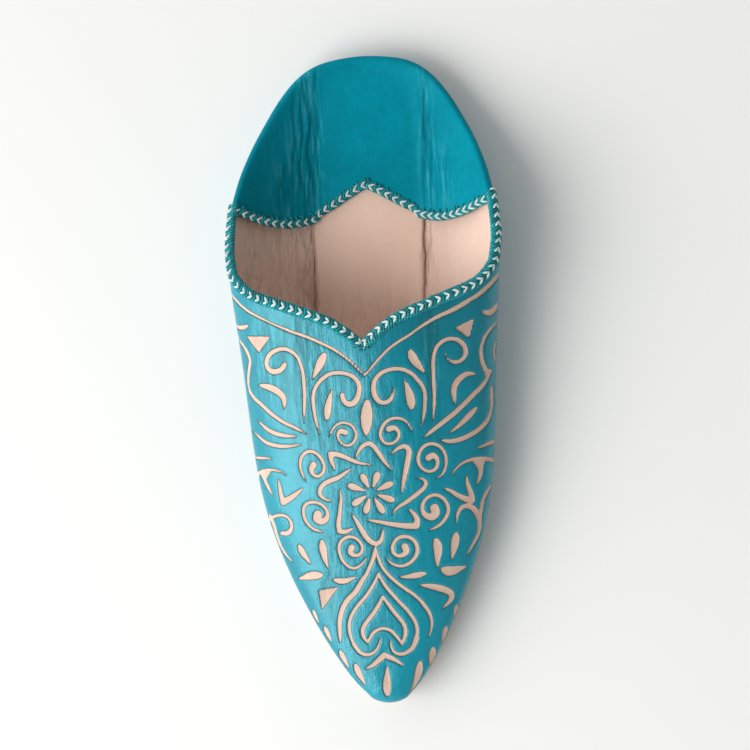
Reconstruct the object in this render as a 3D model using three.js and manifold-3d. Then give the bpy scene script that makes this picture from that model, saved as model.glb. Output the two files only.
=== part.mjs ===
// Babouche slipper for the right foot: a pointed leather slipper whose back is turned down over the insole.
// Millimetres. +Z is up, the toe points along -Y and +X is the big-toe side. The origin is the middle of the
// footprint on the floor.
import * as THREE from "three";
import Module from "manifold-3d";

const wasm = await Module();
wasm.setup();

// Plan sizes
const LENGTH = 262; // heel rim to toe tip
const BALL_WIDTH = 82; // sole seam at its widest
const COLLAR_WIDTH = 107; // leather edge to leather edge at the widest part of the collar
const HEEL_OVERHANG = 3; // how far the heel rim stands behind the sole seam
const TOE_OVERHANG = 1; // how far the toe of the upper stands before the sole seam
const SIDE_BOW = 1.5; // how far the middle of the foot curves towards the little toe

// Heights above the floor
const INSTEP_HEIGHT = 48; // top of the vamp at the throat
const SIDE_HEIGHT = 32; // leather edge at the widest part of the collar
const HEEL_RIM_HEIGHT = 9.5; // leather edge at the back of the heel
const TOE_SPRING = 4; // lift of the sole at the toe tip

// Leather thicknesses and clearances
const SOLE_THICKNESS = 4;
const INSOLE_THICKNESS = 1.8;
const WALL = 2; // upper leather with its lining
const FOLD_THICKNESS = 1.8; // the turned-down back
const SOLE_MARGIN = 1.2; // sole edge outside the seam
const SOLE_EDGE_ROUND = 0.7; // bevel of the sole's two edges
const GAP = 0.3; // between pieces that touch

// Edge braid
const BRAID_RADIUS = 1.9;
const FOLD_BRAID_RADIUS = 1.5;

// Places along the slipper, as shares of its length from the heel rim
const SIDE_JOIN = 0.2335; // where the turned-down back ends and the collar begins
const THROAT = 0.459; // leather point of the collar's V
const FOLD_END = 0.28; // the fold's sheet is made this long and then cut to its scalloped edge
const RIDGE_FAN = 0.8; // from here on the sections turn round the toe
const RIDGE_END = 0.965; // front end of the vamp's ridge
const SPRING_START = 0.76; // where the sole begins to lift

// Full widths in plan, heel to toe: the sole seam, as a share of the ball's width, and the widest line above
// it, which is also the rim and the collar's side. Their squares are interpolated, so both ends are round.
const OUTLINE = [
  { at: 0, seam: 0, wide: 0 },
  { at: 0.01, seam: 0.28, wide: 0.341 },
  { at: 0.03, seam: 0.465, wide: 0.5 },
  { at: 0.06, seam: 0.59, wide: 0.626 },
  { at: 0.1, seam: 0.65, wide: 0.743 },
  { at: 0.15, seam: 0.66, wide: 0.86 },
  { at: 0.2, seam: 0.65, wide: 0.939 },
  { at: 0.25, seam: 0.632, wide: 0.984 },
  { at: 0.3, seam: 0.615, wide: 1 },
  { at: 0.36, seam: 0.61, wide: 0.988 },
  { at: 0.42, seam: 0.628, wide: 0.966 },
  { at: 0.48, seam: 0.695, wide: 0.945 },
  { at: 0.54, seam: 0.8, wide: 0.927 },
  { at: 0.6, seam: 0.91, wide: 0.906 },
  { at: 0.65, seam: 0.98, wide: 0.88 },
  { at: 0.7, seam: 0.99, wide: 0.836 },
  { at: 0.75, seam: 0.93, wide: 0.771 },
  { at: 0.8, seam: 0.833, wide: 0.685 },
  { at: 0.85, seam: 0.707, wide: 0.578 },
  { at: 0.89, seam: 0.59, wide: 0.482 },
  { at: 0.93, seam: 0.45, wide: 0.37 },
  { at: 0.965, seam: 0.305, wide: 0.254 },
  { at: 0.985, seam: 0.195, wide: 0.165 },
  { at: 0.992, seam: 0.155, wide: 0.133 },
  { at: 1, seam: 0, wide: 0 },
];

// Height of that widest line: 0 is the heel rim's height and 1 is the side's.
const CLIMB = [
  { at: 0, climb: 0 },
  { at: 0.04, climb: 0.07 },
  { at: 0.09, climb: 0.2 },
  { at: 0.14, climb: 0.4 },
  { at: 0.19, climb: 0.66 },
  { at: 0.24, climb: 0.88 },
  { at: 0.33, climb: 1 },
  { at: 0.4, climb: 0.84 },
  { at: 0.46, climb: 0.68 },
  { at: 0.55, climb: 0.52 },
  { at: 0.67, climb: 0.38 },
  { at: 0.8, climb: 0.25 },
  { at: 1, climb: 0.17 },
];

// Height of the vamp's ridge. Behind the throat it is the line on which the cut-away leather would lie.
const RIDGE = [
  { at: 0.2, height: 1.22 * INSTEP_HEIGHT },
  { at: 0.33, height: 1.14 * INSTEP_HEIGHT },
  { at: 0.459, height: INSTEP_HEIGHT },
  { at: 0.55, height: 0.88 * INSTEP_HEIGHT },
  { at: 0.67, height: 0.72 * INSTEP_HEIGHT },
  { at: 0.79, height: 0.57 * INSTEP_HEIGHT },
  { at: 0.89, height: 0.45 * INSTEP_HEIGHT },
  { at: 0.965, height: 0.37 * INSTEP_HEIGHT },
];

// Roundness of a section: 2 is an ellipse, and nearer 1 is straighter. "tuck" is from seam to widest line,
// "arch" from there to the ridge.
const ROUNDNESS = [
  { at: 0, tuck: 1.35, arch: 1.75 },
  { at: 0.35, tuck: 1.3, arch: 1.75 },
  { at: 0.5, tuck: 1.45, arch: 1.75 },
  { at: 0.7, tuck: 1.8, arch: 1.95 },
  { at: 1, tuck: 2, arch: 2.1 },
];

// Leather edge of the collar on the vamp: its distance from the ridge as a share of the vamp's half width.
const COLLAR = [
  { at: 0.3, out: 1 },
  { at: 0.333, out: 0.985 },
  { at: 0.349, out: 0.95 },
  { at: 0.367, out: 0.865 },
  { at: 0.392, out: 0.573 },
  { at: 0.418, out: 0.265 },
  { at: THROAT, out: 0 },
];

// Front edge of the turned-down back: distance from the heel rim by share of the half width there.
const SCALLOP_HALF_WIDTH = 51; // from the middle to where the edge meets the rim
const SCALLOP = [
  { at: 0, reach: 0.191 },
  { at: 0.12, reach: 0.203 },
  { at: 0.33, reach: 0.227 },
  { at: 0.5, reach: 0.241 },
  { at: 0.64, reach: 0.246 },
  { at: 0.78, reach: 0.243 },
  { at: 0.92, reach: 0.234 },
  { at: 1.12, reach: 0.226 },
];

const LEATHER = {
  dyed: { color: 0x0090a4, roughness: 0.42, metalness: 0 },
  natural: { color: 0xd9b6a0, roughness: 0.7, metalness: 0 },
  sole: { color: 0xc89f7c, roughness: 0.75, metalness: 0 },
  braid: { color: 0x35b5b8, roughness: 0.6, metalness: 0 },
};

// A smooth curve through one column of a table that never overshoots its rows.
function through(rows, column, power = 1) {
  const at = rows.map((row) => row.at);
  const value = rows.map((row) => row[column] ** power);
  const slope = at.slice(1).map((end, i) => (value[i + 1] - value[i]) / (end - at[i]));
  const tangent = value.map((_, i) => {
    if (i === 0) return slope[0];
    if (i === slope.length) return slope[i - 1];
    if (slope[i - 1] * slope[i] <= 0) return 0;
    return (2 * slope[i - 1] * slope[i]) / (slope[i - 1] + slope[i]);
  });
  return (place) => {
    const inside = Math.min(Math.max(place, at[0]), at[at.length - 1]);
    const i = Math.min(at.findIndex((end, k) => k > 0 && inside <= end), slope.length) - 1;
    const span = at[i + 1] - at[i];
    const s = (inside - at[i]) / span;
    const left = (1 + 2 * s) * (1 - s) ** 2 * value[i] + s * (1 - s) ** 2 * span * tangent[i];
    const right = s * s * (3 - 2 * s) * value[i + 1] - s * s * (1 - s) * span * tangent[i + 1];
    return Math.max(left + right, 0) ** (1 / power);
  };
}

const seamShare = through(OUTLINE, "seam", 2);
const wideShare = through(OUTLINE, "wide", 2);
const climb = through(CLIMB, "climb");
const ridgeHeight = through(RIDGE, "height");
const tuckAt = through(ROUNDNESS, "tuck");
const archAt = through(ROUNDNESS, "arch");
const collarOut = through(COLLAR, "out");
const scallopReach = through(SCALLOP, "reach");

const mix = (a, b, share) => a + (b - a) * share;

// Sideways place of the foot's curved middle line.
function middle(y) {
  return -SIDE_BOW * Math.sin((Math.PI * -y) / LENGTH);
}

// Lift of the sole's underside.
function spring(y) {
  const share = Math.max(0, (-y / LENGTH - SPRING_START) / (1 - SPRING_START));
  return TOE_SPRING * share * share;
}

const soleTop = (y) => spring(y) + SOLE_THICKNESS;
const seamHeight = (y) => soleTop(y) + GAP;
const insoleTop = (y) => seamHeight(y) + INSOLE_THICKNESS;

// A point of the sole seam or of the widest line above it, in plan. Side is -1 or 1.
function seamLine(side, at) {
  const y = -HEEL_OVERHANG - at * (LENGTH - HEEL_OVERHANG - TOE_OVERHANG);
  return new THREE.Vector2(middle(y) + (side * seamShare(at) * BALL_WIDTH) / 2, y);
}

function wideLine(side, at) {
  const y = -at * LENGTH;
  return new THREE.Vector2(middle(y) + (side * wideShare(at) * COLLAR_WIDTH) / 2, y);
}

// The same point moved inwards, square to the line.
function insetLine(line, side, at, inset) {
  const step = Math.min(1e-3, at / 2, (1 - at) / 2);
  const outward = new THREE.Vector2(0, at < 0.5 ? 1 : -1);
  if (step > 0) {
    const along = line(side, at + step).sub(line(side, at - step));
    outward.set(-along.y * side, along.x * side).normalize();
  }
  return line(side, at).addScaledVector(outward, -inset);
}

const wideHeight = (at) => mix(HEEL_RIM_HEIGHT, SIDE_HEIGHT, climb(at));

// A leaning wall needs a wider inset at its foot to keep its thickness.
function footInset(at, inset) {
  const run = seamLine(1, at).distanceTo(wideLine(1, at));
  const rise = wideHeight(at) - seamHeight(-at * LENGTH);
  return (inset * Math.hypot(run, rise)) / rise;
}

// Where on the ridge the section at this place ends: the last ones turn round the toe.
function ridgePlace(at) {
  if (at <= RIDGE_FAN) return at;
  const share = (at - RIDGE_FAN) / (1 - RIDGE_FAN);
  const rest = RIDGE_END - RIDGE_FAN;
  return RIDGE_FAN + rest * share + (1 - RIDGE_FAN - rest) * share * (1 - share);
}

// A point of the upper. Climb 0 is the seam, 1 the widest line and 2 the ridge.
function upperPoint(side, at, up, inset, footHeight = seamHeight) {
  const wide = insetLine(wideLine, side, at, inset);
  if (up <= 1) {
    const foot = insetLine(seamLine, side, at, footInset(at, inset));
    const angle = (up * Math.PI) / 2;
    const power = 2 / tuckAt(at);
    const plan = foot.clone().lerp(wide, Math.sin(angle) ** power);
    const height = mix(wideHeight(at), footHeight(foot.y), Math.cos(angle) ** power);
    return new THREE.Vector3(plan.x, plan.y, height);
  }
  const place = ridgePlace(at);
  const top = new THREE.Vector2(middle(-place * LENGTH), -place * LENGTH);
  const angle = ((up - 1) * Math.PI) / 2;
  const power = 2 / archAt(at);
  const plan = top.lerp(wide, up === 2 ? 0 : Math.cos(angle) ** power);
  const height = mix(wideHeight(at), ridgeHeight(place) - inset, Math.sin(angle) ** power);
  return new THREE.Vector3(plan.x, plan.y, height);
}

// How far up the leather goes at a place: to the rim, to the collar or to the ridge.
function topOf(at) {
  if (at >= THROAT) return 2;
  const out = collarOut(at);
  return 1 + (2 / Math.PI) * Math.acos(Math.min(1, out ** (archAt(at) / 2)));
}

// Places along the slipper between two ends. Squared spacing packs them at a round end.
function places(from, to, count, packed = "none") {
  return Array.from({ length: count }, (_, i) => {
    const s = i / count;
    const eased = { none: s, start: s * s, end: 1 - (1 - s) ** 2 }[packed];
    return mix(from, to, eased);
  });
}

// A closed mesh made of quads and triangles whose equal corners are shared.
class Skin {
  corners = [];
  faces = [];
  index = new Map();

  corner(point) {
    const key = point.toArray().map((value) => Math.round(value * 2000)).join();
    if (!this.index.has(key)) {
      this.index.set(key, this.corners.length);
      this.corners.push(point);
    }
    return this.index.get(key);
  }

  triangle(a, b, c) {
    const face = [this.corner(a), this.corner(b), this.corner(c)];
    if (new Set(face).size === 3) this.faces.push(face);
  }

  quad(a, b, c, d) {
    this.triangle(a, b, c);
    this.triangle(a, c, d);
  }

  // Rows of points, joined row to row. A flipped grid faces the other way.
  grid(rows, flipped = false) {
    rows.slice(1).forEach((row, i) => {
      row.slice(1).forEach((_, j) => {
        const loop = [rows[i][j], rows[i][j + 1], row[j + 1], row[j]];
        this.quad(...(flipped ? loop.reverse() : loop));
      });
    });
  }

  solid() {
    const made = new wasm.Manifold(
      new wasm.Mesh({
        numProp: 3,
        vertProperties: new Float32Array(this.corners.flatMap((corner) => corner.toArray())),
        triVerts: new Uint32Array(this.faces.flat()),
      }),
    );
    if (made.volume() < 0) throw new Error("a skin is inside out");
    return made;
  }
}

function geometryOf(solid) {
  const mesh = solid.getMesh();
  return new THREE.BufferGeometry()
    .setAttribute("position", new THREE.BufferAttribute(mesh.vertProperties, mesh.numProp))
    .setIndex(new THREE.BufferAttribute(mesh.triVerts, 1));
}

// The upper: vamp, sides and heel wall in one hollow wall, open at the collar and underneath.
function makeUpper() {
  const LOWER = 6;
  const ROWS = 14;
  const stations = [
    ...places(0, 0.06, 6, "start"),
    ...places(0.06, SIDE_JOIN, 7),
    ...places(SIDE_JOIN, 0.33, 5),
    ...places(0.33, THROAT, 13),
    ...places(THROAT, 0.84, 11),
    ...places(0.84, 1, 10, "end"),
    1,
  ];
  const climbOf = (at, row) => {
    if (row <= LOWER) return row / LOWER;
    return mix(1, topOf(at), (row - LOWER) / (ROWS - LOWER));
  };
  const wall = (side, inset) =>
    stations.map((at) =>
      Array.from({ length: ROWS + 1 }, (_, row) => upperPoint(side, at, climbOf(at, row), inset)),
    );
  const skin = new Skin();
  for (const side of [-1, 1]) {
    const outer = wall(side, 0);
    const inner = wall(side, WALL);
    skin.grid(outer, side < 0);
    skin.grid(inner, side > 0);
    const seam = outer.map((row, i) => [inner[i][0], row[0]]);
    skin.grid(seam, side < 0);
    const open = outer.slice(0, stations.indexOf(THROAT) + 1);
    const edge = open.map((row, i) => [row[ROWS], inner[i][ROWS]]);
    skin.grid(edge, side < 0);
  }
  return geometryOf(skin.solid());
}

// A plate that follows the seam's outline between two heights, with its long edges bevelled.
function makePlate(outlineInset, bottom, top, bevel) {
  const ACROSS = 4;
  const stations = [...places(0, 0.06, 6, "start"), ...places(0.06, 0.9, 18), ...places(0.9, 1, 7, "end"), 1];
  const skin = new Skin();
  const face = (height, extra) =>
    stations.map((at) => {
      const [left, right] = [-1, 1].map((side) => insetLine(seamLine, side, at, outlineInset(at) + extra));
      return Array.from({ length: ACROSS + 1 }, (_, i) => {
        const plan = left.clone().lerp(right, i / ACROSS);
        return new THREE.Vector3(plan.x, plan.y, height(plan.y));
      });
    });
  const under = face(bottom, bevel);
  const over = face(top, bevel);
  skin.grid(under);
  skin.grid(over, true);
  const layers = [
    under,
    face((y) => bottom(y) + bevel, 0),
    face((y) => top(y) - bevel, 0),
    over,
  ];
  layers.slice(1).forEach((layer, i) => {
    for (const end of [0, ACROSS]) {
      const strip = layer.map((row, k) => [layers[i][k][end], row[end]]);
      skin.grid(strip, end === 0);
    }
  });
  return geometryOf(skin.solid());
}

const makeOutsole = () => makePlate(() => -SOLE_MARGIN, spring, soleTop, SOLE_EDGE_ROUND);

function makeInsole() {
  const inset = (at) => footInset(at, WALL) + GAP;
  return makePlate(inset, seamHeight, insoleTop, INSOLE_THICKNESS / 4);
}

// The scalloped front edge of the turned-down back, in plan.
function scallopPoint(share, ahead = 0) {
  const y = -scallopReach(Math.abs(share)) * LENGTH - ahead;
  return new THREE.Vector2(middle(y) + share * SCALLOP_HALF_WIDTH, y);
}

// Cross-section rows of the fold from the left rim's roll, down the side, over the insole and up again.
function foldRow(at, inset, lift, rolled) {
  const DOWN = 6;
  const FLOOR = 3;
  const ROLL = 5;
  const floor = (y) => insoleTop(y) + GAP + lift;
  const half = (side) => {
    const roll = Array.from({ length: ROLL }, (_, i) => rolled(side, at, ((ROLL - i) / ROLL) * 0.83 * Math.PI));
    const slope = Array.from({ length: DOWN + 1 }, (_, i) => upperPoint(side, at, 1 - i / DOWN, inset, floor));
    return [...roll, ...slope];
  };
  const left = half(-1);
  const right = half(1).reverse();
  const [from, to] = [left.at(-1), right[0]];
  const across = Array.from({ length: FLOOR - 1 }, (_, i) => from.clone().lerp(to, (i + 1) / FLOOR));
  return [...left, ...across, ...right];
}

// The turned-down back: it rolls over the heel wall, lines it and lies on the insole.
function makeFold() {
  const under = WALL + GAP;
  const over = under + FOLD_THICKNESS;
  const stations = [...places(0, 0.06, 6, "start"), ...places(0.06, FOLD_END, 12), FOLD_END];
  const rollTop = (side, at, angle) => {
    const plan = insetLine(wideLine, side, at, (over / 2) * (1 + Math.cos(angle)));
    const height = wideHeight(at) + (GAP + FOLD_THICKNESS) * Math.sin(angle);
    return new THREE.Vector3(plan.x, plan.y, height);
  };
  const rollUnder = (side, at, angle) => {
    const plan = insetLine(wideLine, side, at, (under / 2) * (1 + Math.cos(angle)));
    return new THREE.Vector3(plan.x, plan.y, wideHeight(at) + GAP);
  };
  const top = stations.map((at) => foldRow(at, over, FOLD_THICKNESS, rollTop));
  const bottom = stations.map((at) => foldRow(at, under, 0, rollUnder));
  const skin = new Skin();
  skin.grid(top, true);
  skin.grid(bottom);
  const last = stations.length - 1;
  for (const end of [0, top[0].length - 1]) {
    skin.grid(top.map((row, i) => [bottom[i][end], row[end]]), end === 0);
  }
  skin.grid([bottom[last], top[last]]);
  return geometryOf(skin.solid().subtract(aheadOfScallop()));
}

// Everything in front of the scalloped edge, as a prism.
function aheadOfScallop() {
  const STEPS = 32;
  const outline = new THREE.Shape();
  for (let i = 0; i <= STEPS; i += 1) {
    const point = scallopPoint(mix(-1.2, 1.2, i / STEPS));
    if (i === 0) outline.moveTo(point.x, point.y);
    else outline.lineTo(point.x, point.y);
  }
  outline.lineTo(COLLAR_WIDTH, -LENGTH);
  outline.lineTo(-COLLAR_WIDTH, -LENGTH);
  const prism = new THREE.ExtrudeGeometry(outline, { depth: 2 * SIDE_HEIGHT, bevelEnabled: false });
  const position = prism.getAttribute("position");
  const skin = new Skin();
  for (let i = 0; i < position.count; i += 3) {
    skin.triangle(...[0, 1, 2].map((k) => new THREE.Vector3().fromBufferAttribute(position, i + k)));
  }
  return skin.solid();
}

// A round bead swept along a path, each step given as a centre and two directions square to the path.
function makeBead(steps, radius) {
  const SIDES = 8;
  const rings = steps.map(({ centre, across, up }) =>
    Array.from({ length: SIDES + 1 }, (_, i) => {
      const angle = (2 * Math.PI * (i % SIDES)) / SIDES;
      return centre
        .clone()
        .addScaledVector(across, radius * Math.cos(angle))
        .addScaledVector(up, radius * Math.sin(angle));
    }),
  );
  const skin = new Skin();
  skin.grid(rings);
  for (const [ring, step, flipped] of [
    [rings[0], steps[0], false],
    [rings.at(-1), steps.at(-1), true],
  ]) {
    ring.slice(1).forEach((corner, i) => {
      const edge = flipped ? [ring[i], corner] : [corner, ring[i]];
      skin.triangle(step.centre, ...edge);
    });
  }
  return geometryOf(skin.solid());
}

// Beads lie against a leather edge: beyond says which way the leather would go on.
function beadSteps(edge, reach) {
  return edge.map(({ point, beyond }, i) => {
    const before = edge[Math.max(i - 1, 0)].point;
    const after = edge[Math.min(i + 1, edge.length - 1)].point;
    const along = after.clone().sub(before).normalize();
    const across = beyond.clone().addScaledVector(along, -beyond.dot(along)).normalize();
    const up = new THREE.Vector3().crossVectors(along, across);
    return { centre: point.clone().addScaledVector(across, reach), across, up };
  });
}

// The collar's braid, from the little-toe side round the throat to the big-toe side.
function makeCollarBraid() {
  const stations = [...places(SIDE_JOIN + 0.008, 0.33, 7), ...places(0.33, THROAT, 20)];
  const edgeAt = (side) => (at) => {
    const top = topOf(at);
    const point = upperPoint(side, at, top, WALL / 2);
    return { point, beyond: point.clone().sub(upperPoint(side, at, top - 0.05, WALL / 2)) };
  };
  const point = upperPoint(1, THROAT, 2, WALL / 2);
  const throat = { point, beyond: point.clone().sub(upperPoint(1, THROAT + 0.01, 2, WALL / 2)) };
  const edge = [...stations.map(edgeAt(-1)), throat, ...stations.map(edgeAt(1)).reverse()];
  return makeBead(beadSteps(edge, BRAID_RADIUS + GAP), BRAID_RADIUS);
}

// Height of the turned-down back's middle layer near its front edge, found on its own cross-section.
function foldHeight(plan) {
  const at = -plan.y / LENGTH;
  const side = Math.sign(plan.x - middle(plan.y)) || 1;
  const inset = WALL + GAP + FOLD_THICKNESS / 2;
  const floor = (y) => insoleTop(y) + GAP + FOLD_THICKNESS / 2;
  const foot = insetLine(seamLine, side, at, footInset(at, inset));
  const wide = insetLine(wideLine, side, at, inset);
  const out = Math.min(Math.max((plan.x - foot.x) / (wide.x - foot.x), 0), 1);
  const tuck = tuckAt(at);
  return mix(wideHeight(at), floor(plan.y), (1 - out ** tuck) ** (1 / tuck));
}

// The braid along the scalloped edge.
function makeFoldBraid() {
  const STEPS = 36;
  const edge = Array.from({ length: STEPS + 1 }, (_, i) => {
    const share = mix(-0.9, 0.9, i / STEPS);
    const plan = scallopPoint(share);
    const ahead = scallopPoint(share, 1);
    const lift = FOLD_BRAID_RADIUS - FOLD_THICKNESS / 2;
    const point = new THREE.Vector3(plan.x, plan.y, foldHeight(plan) + lift);
    return { point, beyond: new THREE.Vector3(ahead.x, ahead.y, point.z).sub(point) };
  });
  return makeBead(beadSteps(edge, FOLD_BRAID_RADIUS + GAP), FOLD_BRAID_RADIUS);
}

const slipper = new THREE.Group();
for (const [name, geometry, look] of [
  ["outsole", makeOutsole(), LEATHER.sole],
  ["insole", makeInsole(), LEATHER.natural],
  ["upper", makeUpper(), LEATHER.dyed],
  ["turned_down_back", makeFold(), LEATHER.dyed],
  ["collar_braid", makeCollarBraid(), LEATHER.braid],
  ["back_edge_braid", makeFoldBraid(), LEATHER.braid],
]) {
  const mesh = new THREE.Mesh(geometry, new THREE.MeshStandardMaterial(look));
  mesh.name = name;
  slipper.add(mesh);
}

// The origin goes under the middle of the footprint's box.
const box = new THREE.Box3().setFromObject(slipper);
slipper.position.set(-(box.min.x + box.max.x) / 2, -(box.min.y + box.max.y) / 2, -box.min.z);

export default slipper;
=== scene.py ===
import math

import bmesh
import bpy
import numpy as np
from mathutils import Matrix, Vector
from mathutils.bvhtree import BVHTree


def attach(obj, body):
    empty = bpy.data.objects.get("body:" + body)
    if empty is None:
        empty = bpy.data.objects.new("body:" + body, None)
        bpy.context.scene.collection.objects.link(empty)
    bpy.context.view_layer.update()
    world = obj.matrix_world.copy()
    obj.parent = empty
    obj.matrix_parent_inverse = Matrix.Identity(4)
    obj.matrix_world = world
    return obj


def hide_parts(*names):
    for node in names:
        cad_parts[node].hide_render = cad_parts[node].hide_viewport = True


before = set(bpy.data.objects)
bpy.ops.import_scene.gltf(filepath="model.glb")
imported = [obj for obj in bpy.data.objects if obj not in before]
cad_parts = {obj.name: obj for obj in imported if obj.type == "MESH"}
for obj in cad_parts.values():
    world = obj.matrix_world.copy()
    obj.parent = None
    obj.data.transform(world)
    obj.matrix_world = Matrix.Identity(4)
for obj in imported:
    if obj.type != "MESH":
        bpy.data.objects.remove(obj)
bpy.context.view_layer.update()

# Where the slipper is seen from: straight above, from far enough to show the collar a little from the big-toe
# side. Millimetres from here on, turned to metres where a mesh is made.
EYE = np.array([58.7, -1.2, 650.0])
TURN = -0.045
VIEW_WIDTH = 308.0
PICTURE = 750
PAN = 0.0905

camera = bpy.data.objects.new("camera", bpy.data.cameras.new("camera"))
bpy.context.scene.collection.objects.link(camera)
camera.location = EYE / 1000
camera.rotation_euler = (0, PAN, TURN)
camera.data.sensor_width = 36
camera.data.lens = 36 * EYE[2] / VIEW_WIDTH
bpy.context.scene.camera = camera


def sight(across, down):
    """Direction in which a point of the picture is seen, in picture units from its top left."""
    across, down = (np.array([across, down]) - PICTURE / 2) * VIEW_WIDTH / PICTURE
    cos, sin = math.cos(TURN), math.sin(TURN)
    return np.array([across * cos + down * sin, across * sin - down * cos, -EYE[2]])


# The last: the wooden form that all leather of the slipper is pulled over. Its outline, side and ridge are
# read off at places along its length, as shares from the heel rim to the toe tip.
LENGTH = 262
BALL_WIDTH = 82
COLLAR_WIDTH = 107
HEEL_OVERHANG = 3
TOE_OVERHANG = 1
SIDE_BOW = 1.5
BOW_AT_COLLAR = 1.21
INSTEP_HEIGHT = 48
SIDE_HEIGHT = 32
HEEL_RIM_HEIGHT = 9.5
TOE_SPRING = 4
SPRING_START = 0.76
SOLE_THICKNESS = 4
INSOLE_THICKNESS = 1.8
GAP = 0.3
SIDE_JOIN = 0.2335
THROAT = 0.459
RIDGE_FAN = 0.8
RIDGE_END = 0.965
LAST_PLACE = np.array([BOW_AT_COLLAR, LENGTH / 2 + 0.1, 0])

OUTLINE = [
    # at, seam (of the ball's width), wide (of the collar's width)
    (0, 0, 0),
    (0.01, 0.28, 0.341),
    (0.03, 0.465, 0.5),
    (0.06, 0.59, 0.626),
    (0.1, 0.65, 0.743),
    (0.15, 0.66, 0.86),
    (0.2, 0.65, 0.939),
    (0.25, 0.632, 0.984),
    (0.3, 0.615, 1),
    (0.36, 0.61, 0.988),
    (0.42, 0.628, 0.966),
    (0.48, 0.695, 0.945),
    (0.54, 0.8, 0.927),
    (0.6, 0.91, 0.906),
    (0.65, 0.98, 0.88),
    (0.7, 0.99, 0.836),
    (0.75, 0.93, 0.771),
    (0.8, 0.833, 0.685),
    (0.85, 0.707, 0.578),
    (0.89, 0.59, 0.482),
    (0.93, 0.45, 0.37),
    (0.965, 0.305, 0.254),
    (0.985, 0.195, 0.165),
    (0.992, 0.155, 0.133),
    (1, 0, 0),
]
CLIMB = [
    # at, height of the widest line from the heel rim's (0) to the side's (1)
    (0, 0),
    (0.04, 0.07),
    (0.09, 0.2),
    (0.14, 0.4),
    (0.19, 0.66),
    (0.24, 0.88),
    (0.33, 1),
    (0.4, 0.84),
    (0.46, 0.68),
    (0.55, 0.52),
    (0.67, 0.38),
    (0.8, 0.25),
    (1, 0.17),
]
RIDGE = [
    # at, height of the ridge as a share of the instep's
    (0.2, 1.22),
    (0.33, 1.14),
    (0.459, 1),
    (0.55, 0.88),
    (0.67, 0.72),
    (0.79, 0.57),
    (0.89, 0.45),
    (0.965, 0.37),
]
ROUNDNESS = [
    # at, tuck (seam to widest line), arch (widest line to ridge); 2 is an ellipse
    (0, 1.35, 1.75),
    (0.35, 1.3, 1.75),
    (0.5, 1.45, 1.75),
    (0.7, 1.8, 1.95),
    (1, 2, 2.1),
]
COLLAR = [
    # at, distance of the collar's edge from the ridge as a share of the half width
    (0.3, 1),
    (0.333, 0.985),
    (0.349, 0.95),
    (0.367, 0.865),
    (0.392, 0.573),
    (0.418, 0.265),
    (THROAT, 0),
]


def through(rows, column, power=1):
    """A smooth curve through one column of a table that never overshoots its rows."""
    at = np.array([row[0] for row in rows], float)
    value = np.array([row[column] for row in rows], float) ** power
    span = np.diff(at)
    slope = np.diff(value) / span
    tangent = np.concatenate([slope[:1], np.zeros(len(slope) - 1), slope[-1:]])
    agree = slope[:-1] * slope[1:] > 0
    both = np.where(agree, slope[:-1] + slope[1:], 1)
    tangent[1:-1] = np.where(agree, 2 * slope[:-1] * slope[1:] / both, 0)

    def read(place):
        place = np.clip(place, at[0], at[-1])
        i = np.clip(np.searchsorted(at, place) - 1, 0, len(span) - 1)
        s = (place - at[i]) / span[i]
        left = (1 + 2 * s) * (1 - s) ** 2 * value[i] + s * (1 - s) ** 2 * span[i] * tangent[i]
        right = s * s * (3 - 2 * s) * value[i + 1] - s * s * (1 - s) * span[i] * tangent[i + 1]
        return np.maximum(left + right, 0) ** (1 / power)

    return read


seam_share = through(OUTLINE, 1, 2)
wide_share = through(OUTLINE, 2, 2)
climb = through(CLIMB, 1)
ridge_share = through(RIDGE, 1)
tuck_at = through(ROUNDNESS, 1)
arch_at = through(ROUNDNESS, 2)
collar_out = through(COLLAR, 1)


def middle(y):
    return -SIDE_BOW * np.sin(np.pi * -y / LENGTH)


def spring(y):
    share = np.maximum(0, (-y / LENGTH - SPRING_START) / (1 - SPRING_START))
    return TOE_SPRING * share * share


def seam_height(y):
    return spring(y) + SOLE_THICKNESS + GAP


def insole_top(y):
    return seam_height(y) + INSOLE_THICKNESS


def seam_line(side, at):
    y = -HEEL_OVERHANG - at * (LENGTH - HEEL_OVERHANG - TOE_OVERHANG)
    return np.stack([middle(y) + side * seam_share(at) * BALL_WIDTH / 2, y], -1)


def wide_line(side, at):
    y = -at * LENGTH
    return np.stack([middle(y) + side * wide_share(at) * COLLAR_WIDTH / 2, y], -1)


def inset_line(line, side, at, inset):
    """A line of the plan moved inwards, square to itself."""
    step = np.minimum(1e-3, np.minimum(at / 2, (1 - at) / 2))
    along = line(side, at + step) - line(side, at - step)
    outward = np.stack([-along[..., 1] * side, along[..., 0] * side], -1)
    end = np.stack([np.zeros_like(at), np.where(at < 0.5, 1.0, -1.0)], -1)
    outward = np.where((step > 0)[..., None], outward, end)
    outward = outward / np.linalg.norm(outward, axis=-1, keepdims=True)
    return line(side, at) - outward * np.asarray(inset)[..., None]


def wide_height(at):
    return HEEL_RIM_HEIGHT + (SIDE_HEIGHT - HEEL_RIM_HEIGHT) * climb(at)


def foot_inset(at, inset):
    run = np.linalg.norm(seam_line(1, at) - wide_line(1, at), axis=-1)
    rise = wide_height(at) - seam_height(-at * LENGTH)
    return inset * np.hypot(run, rise) / rise


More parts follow.
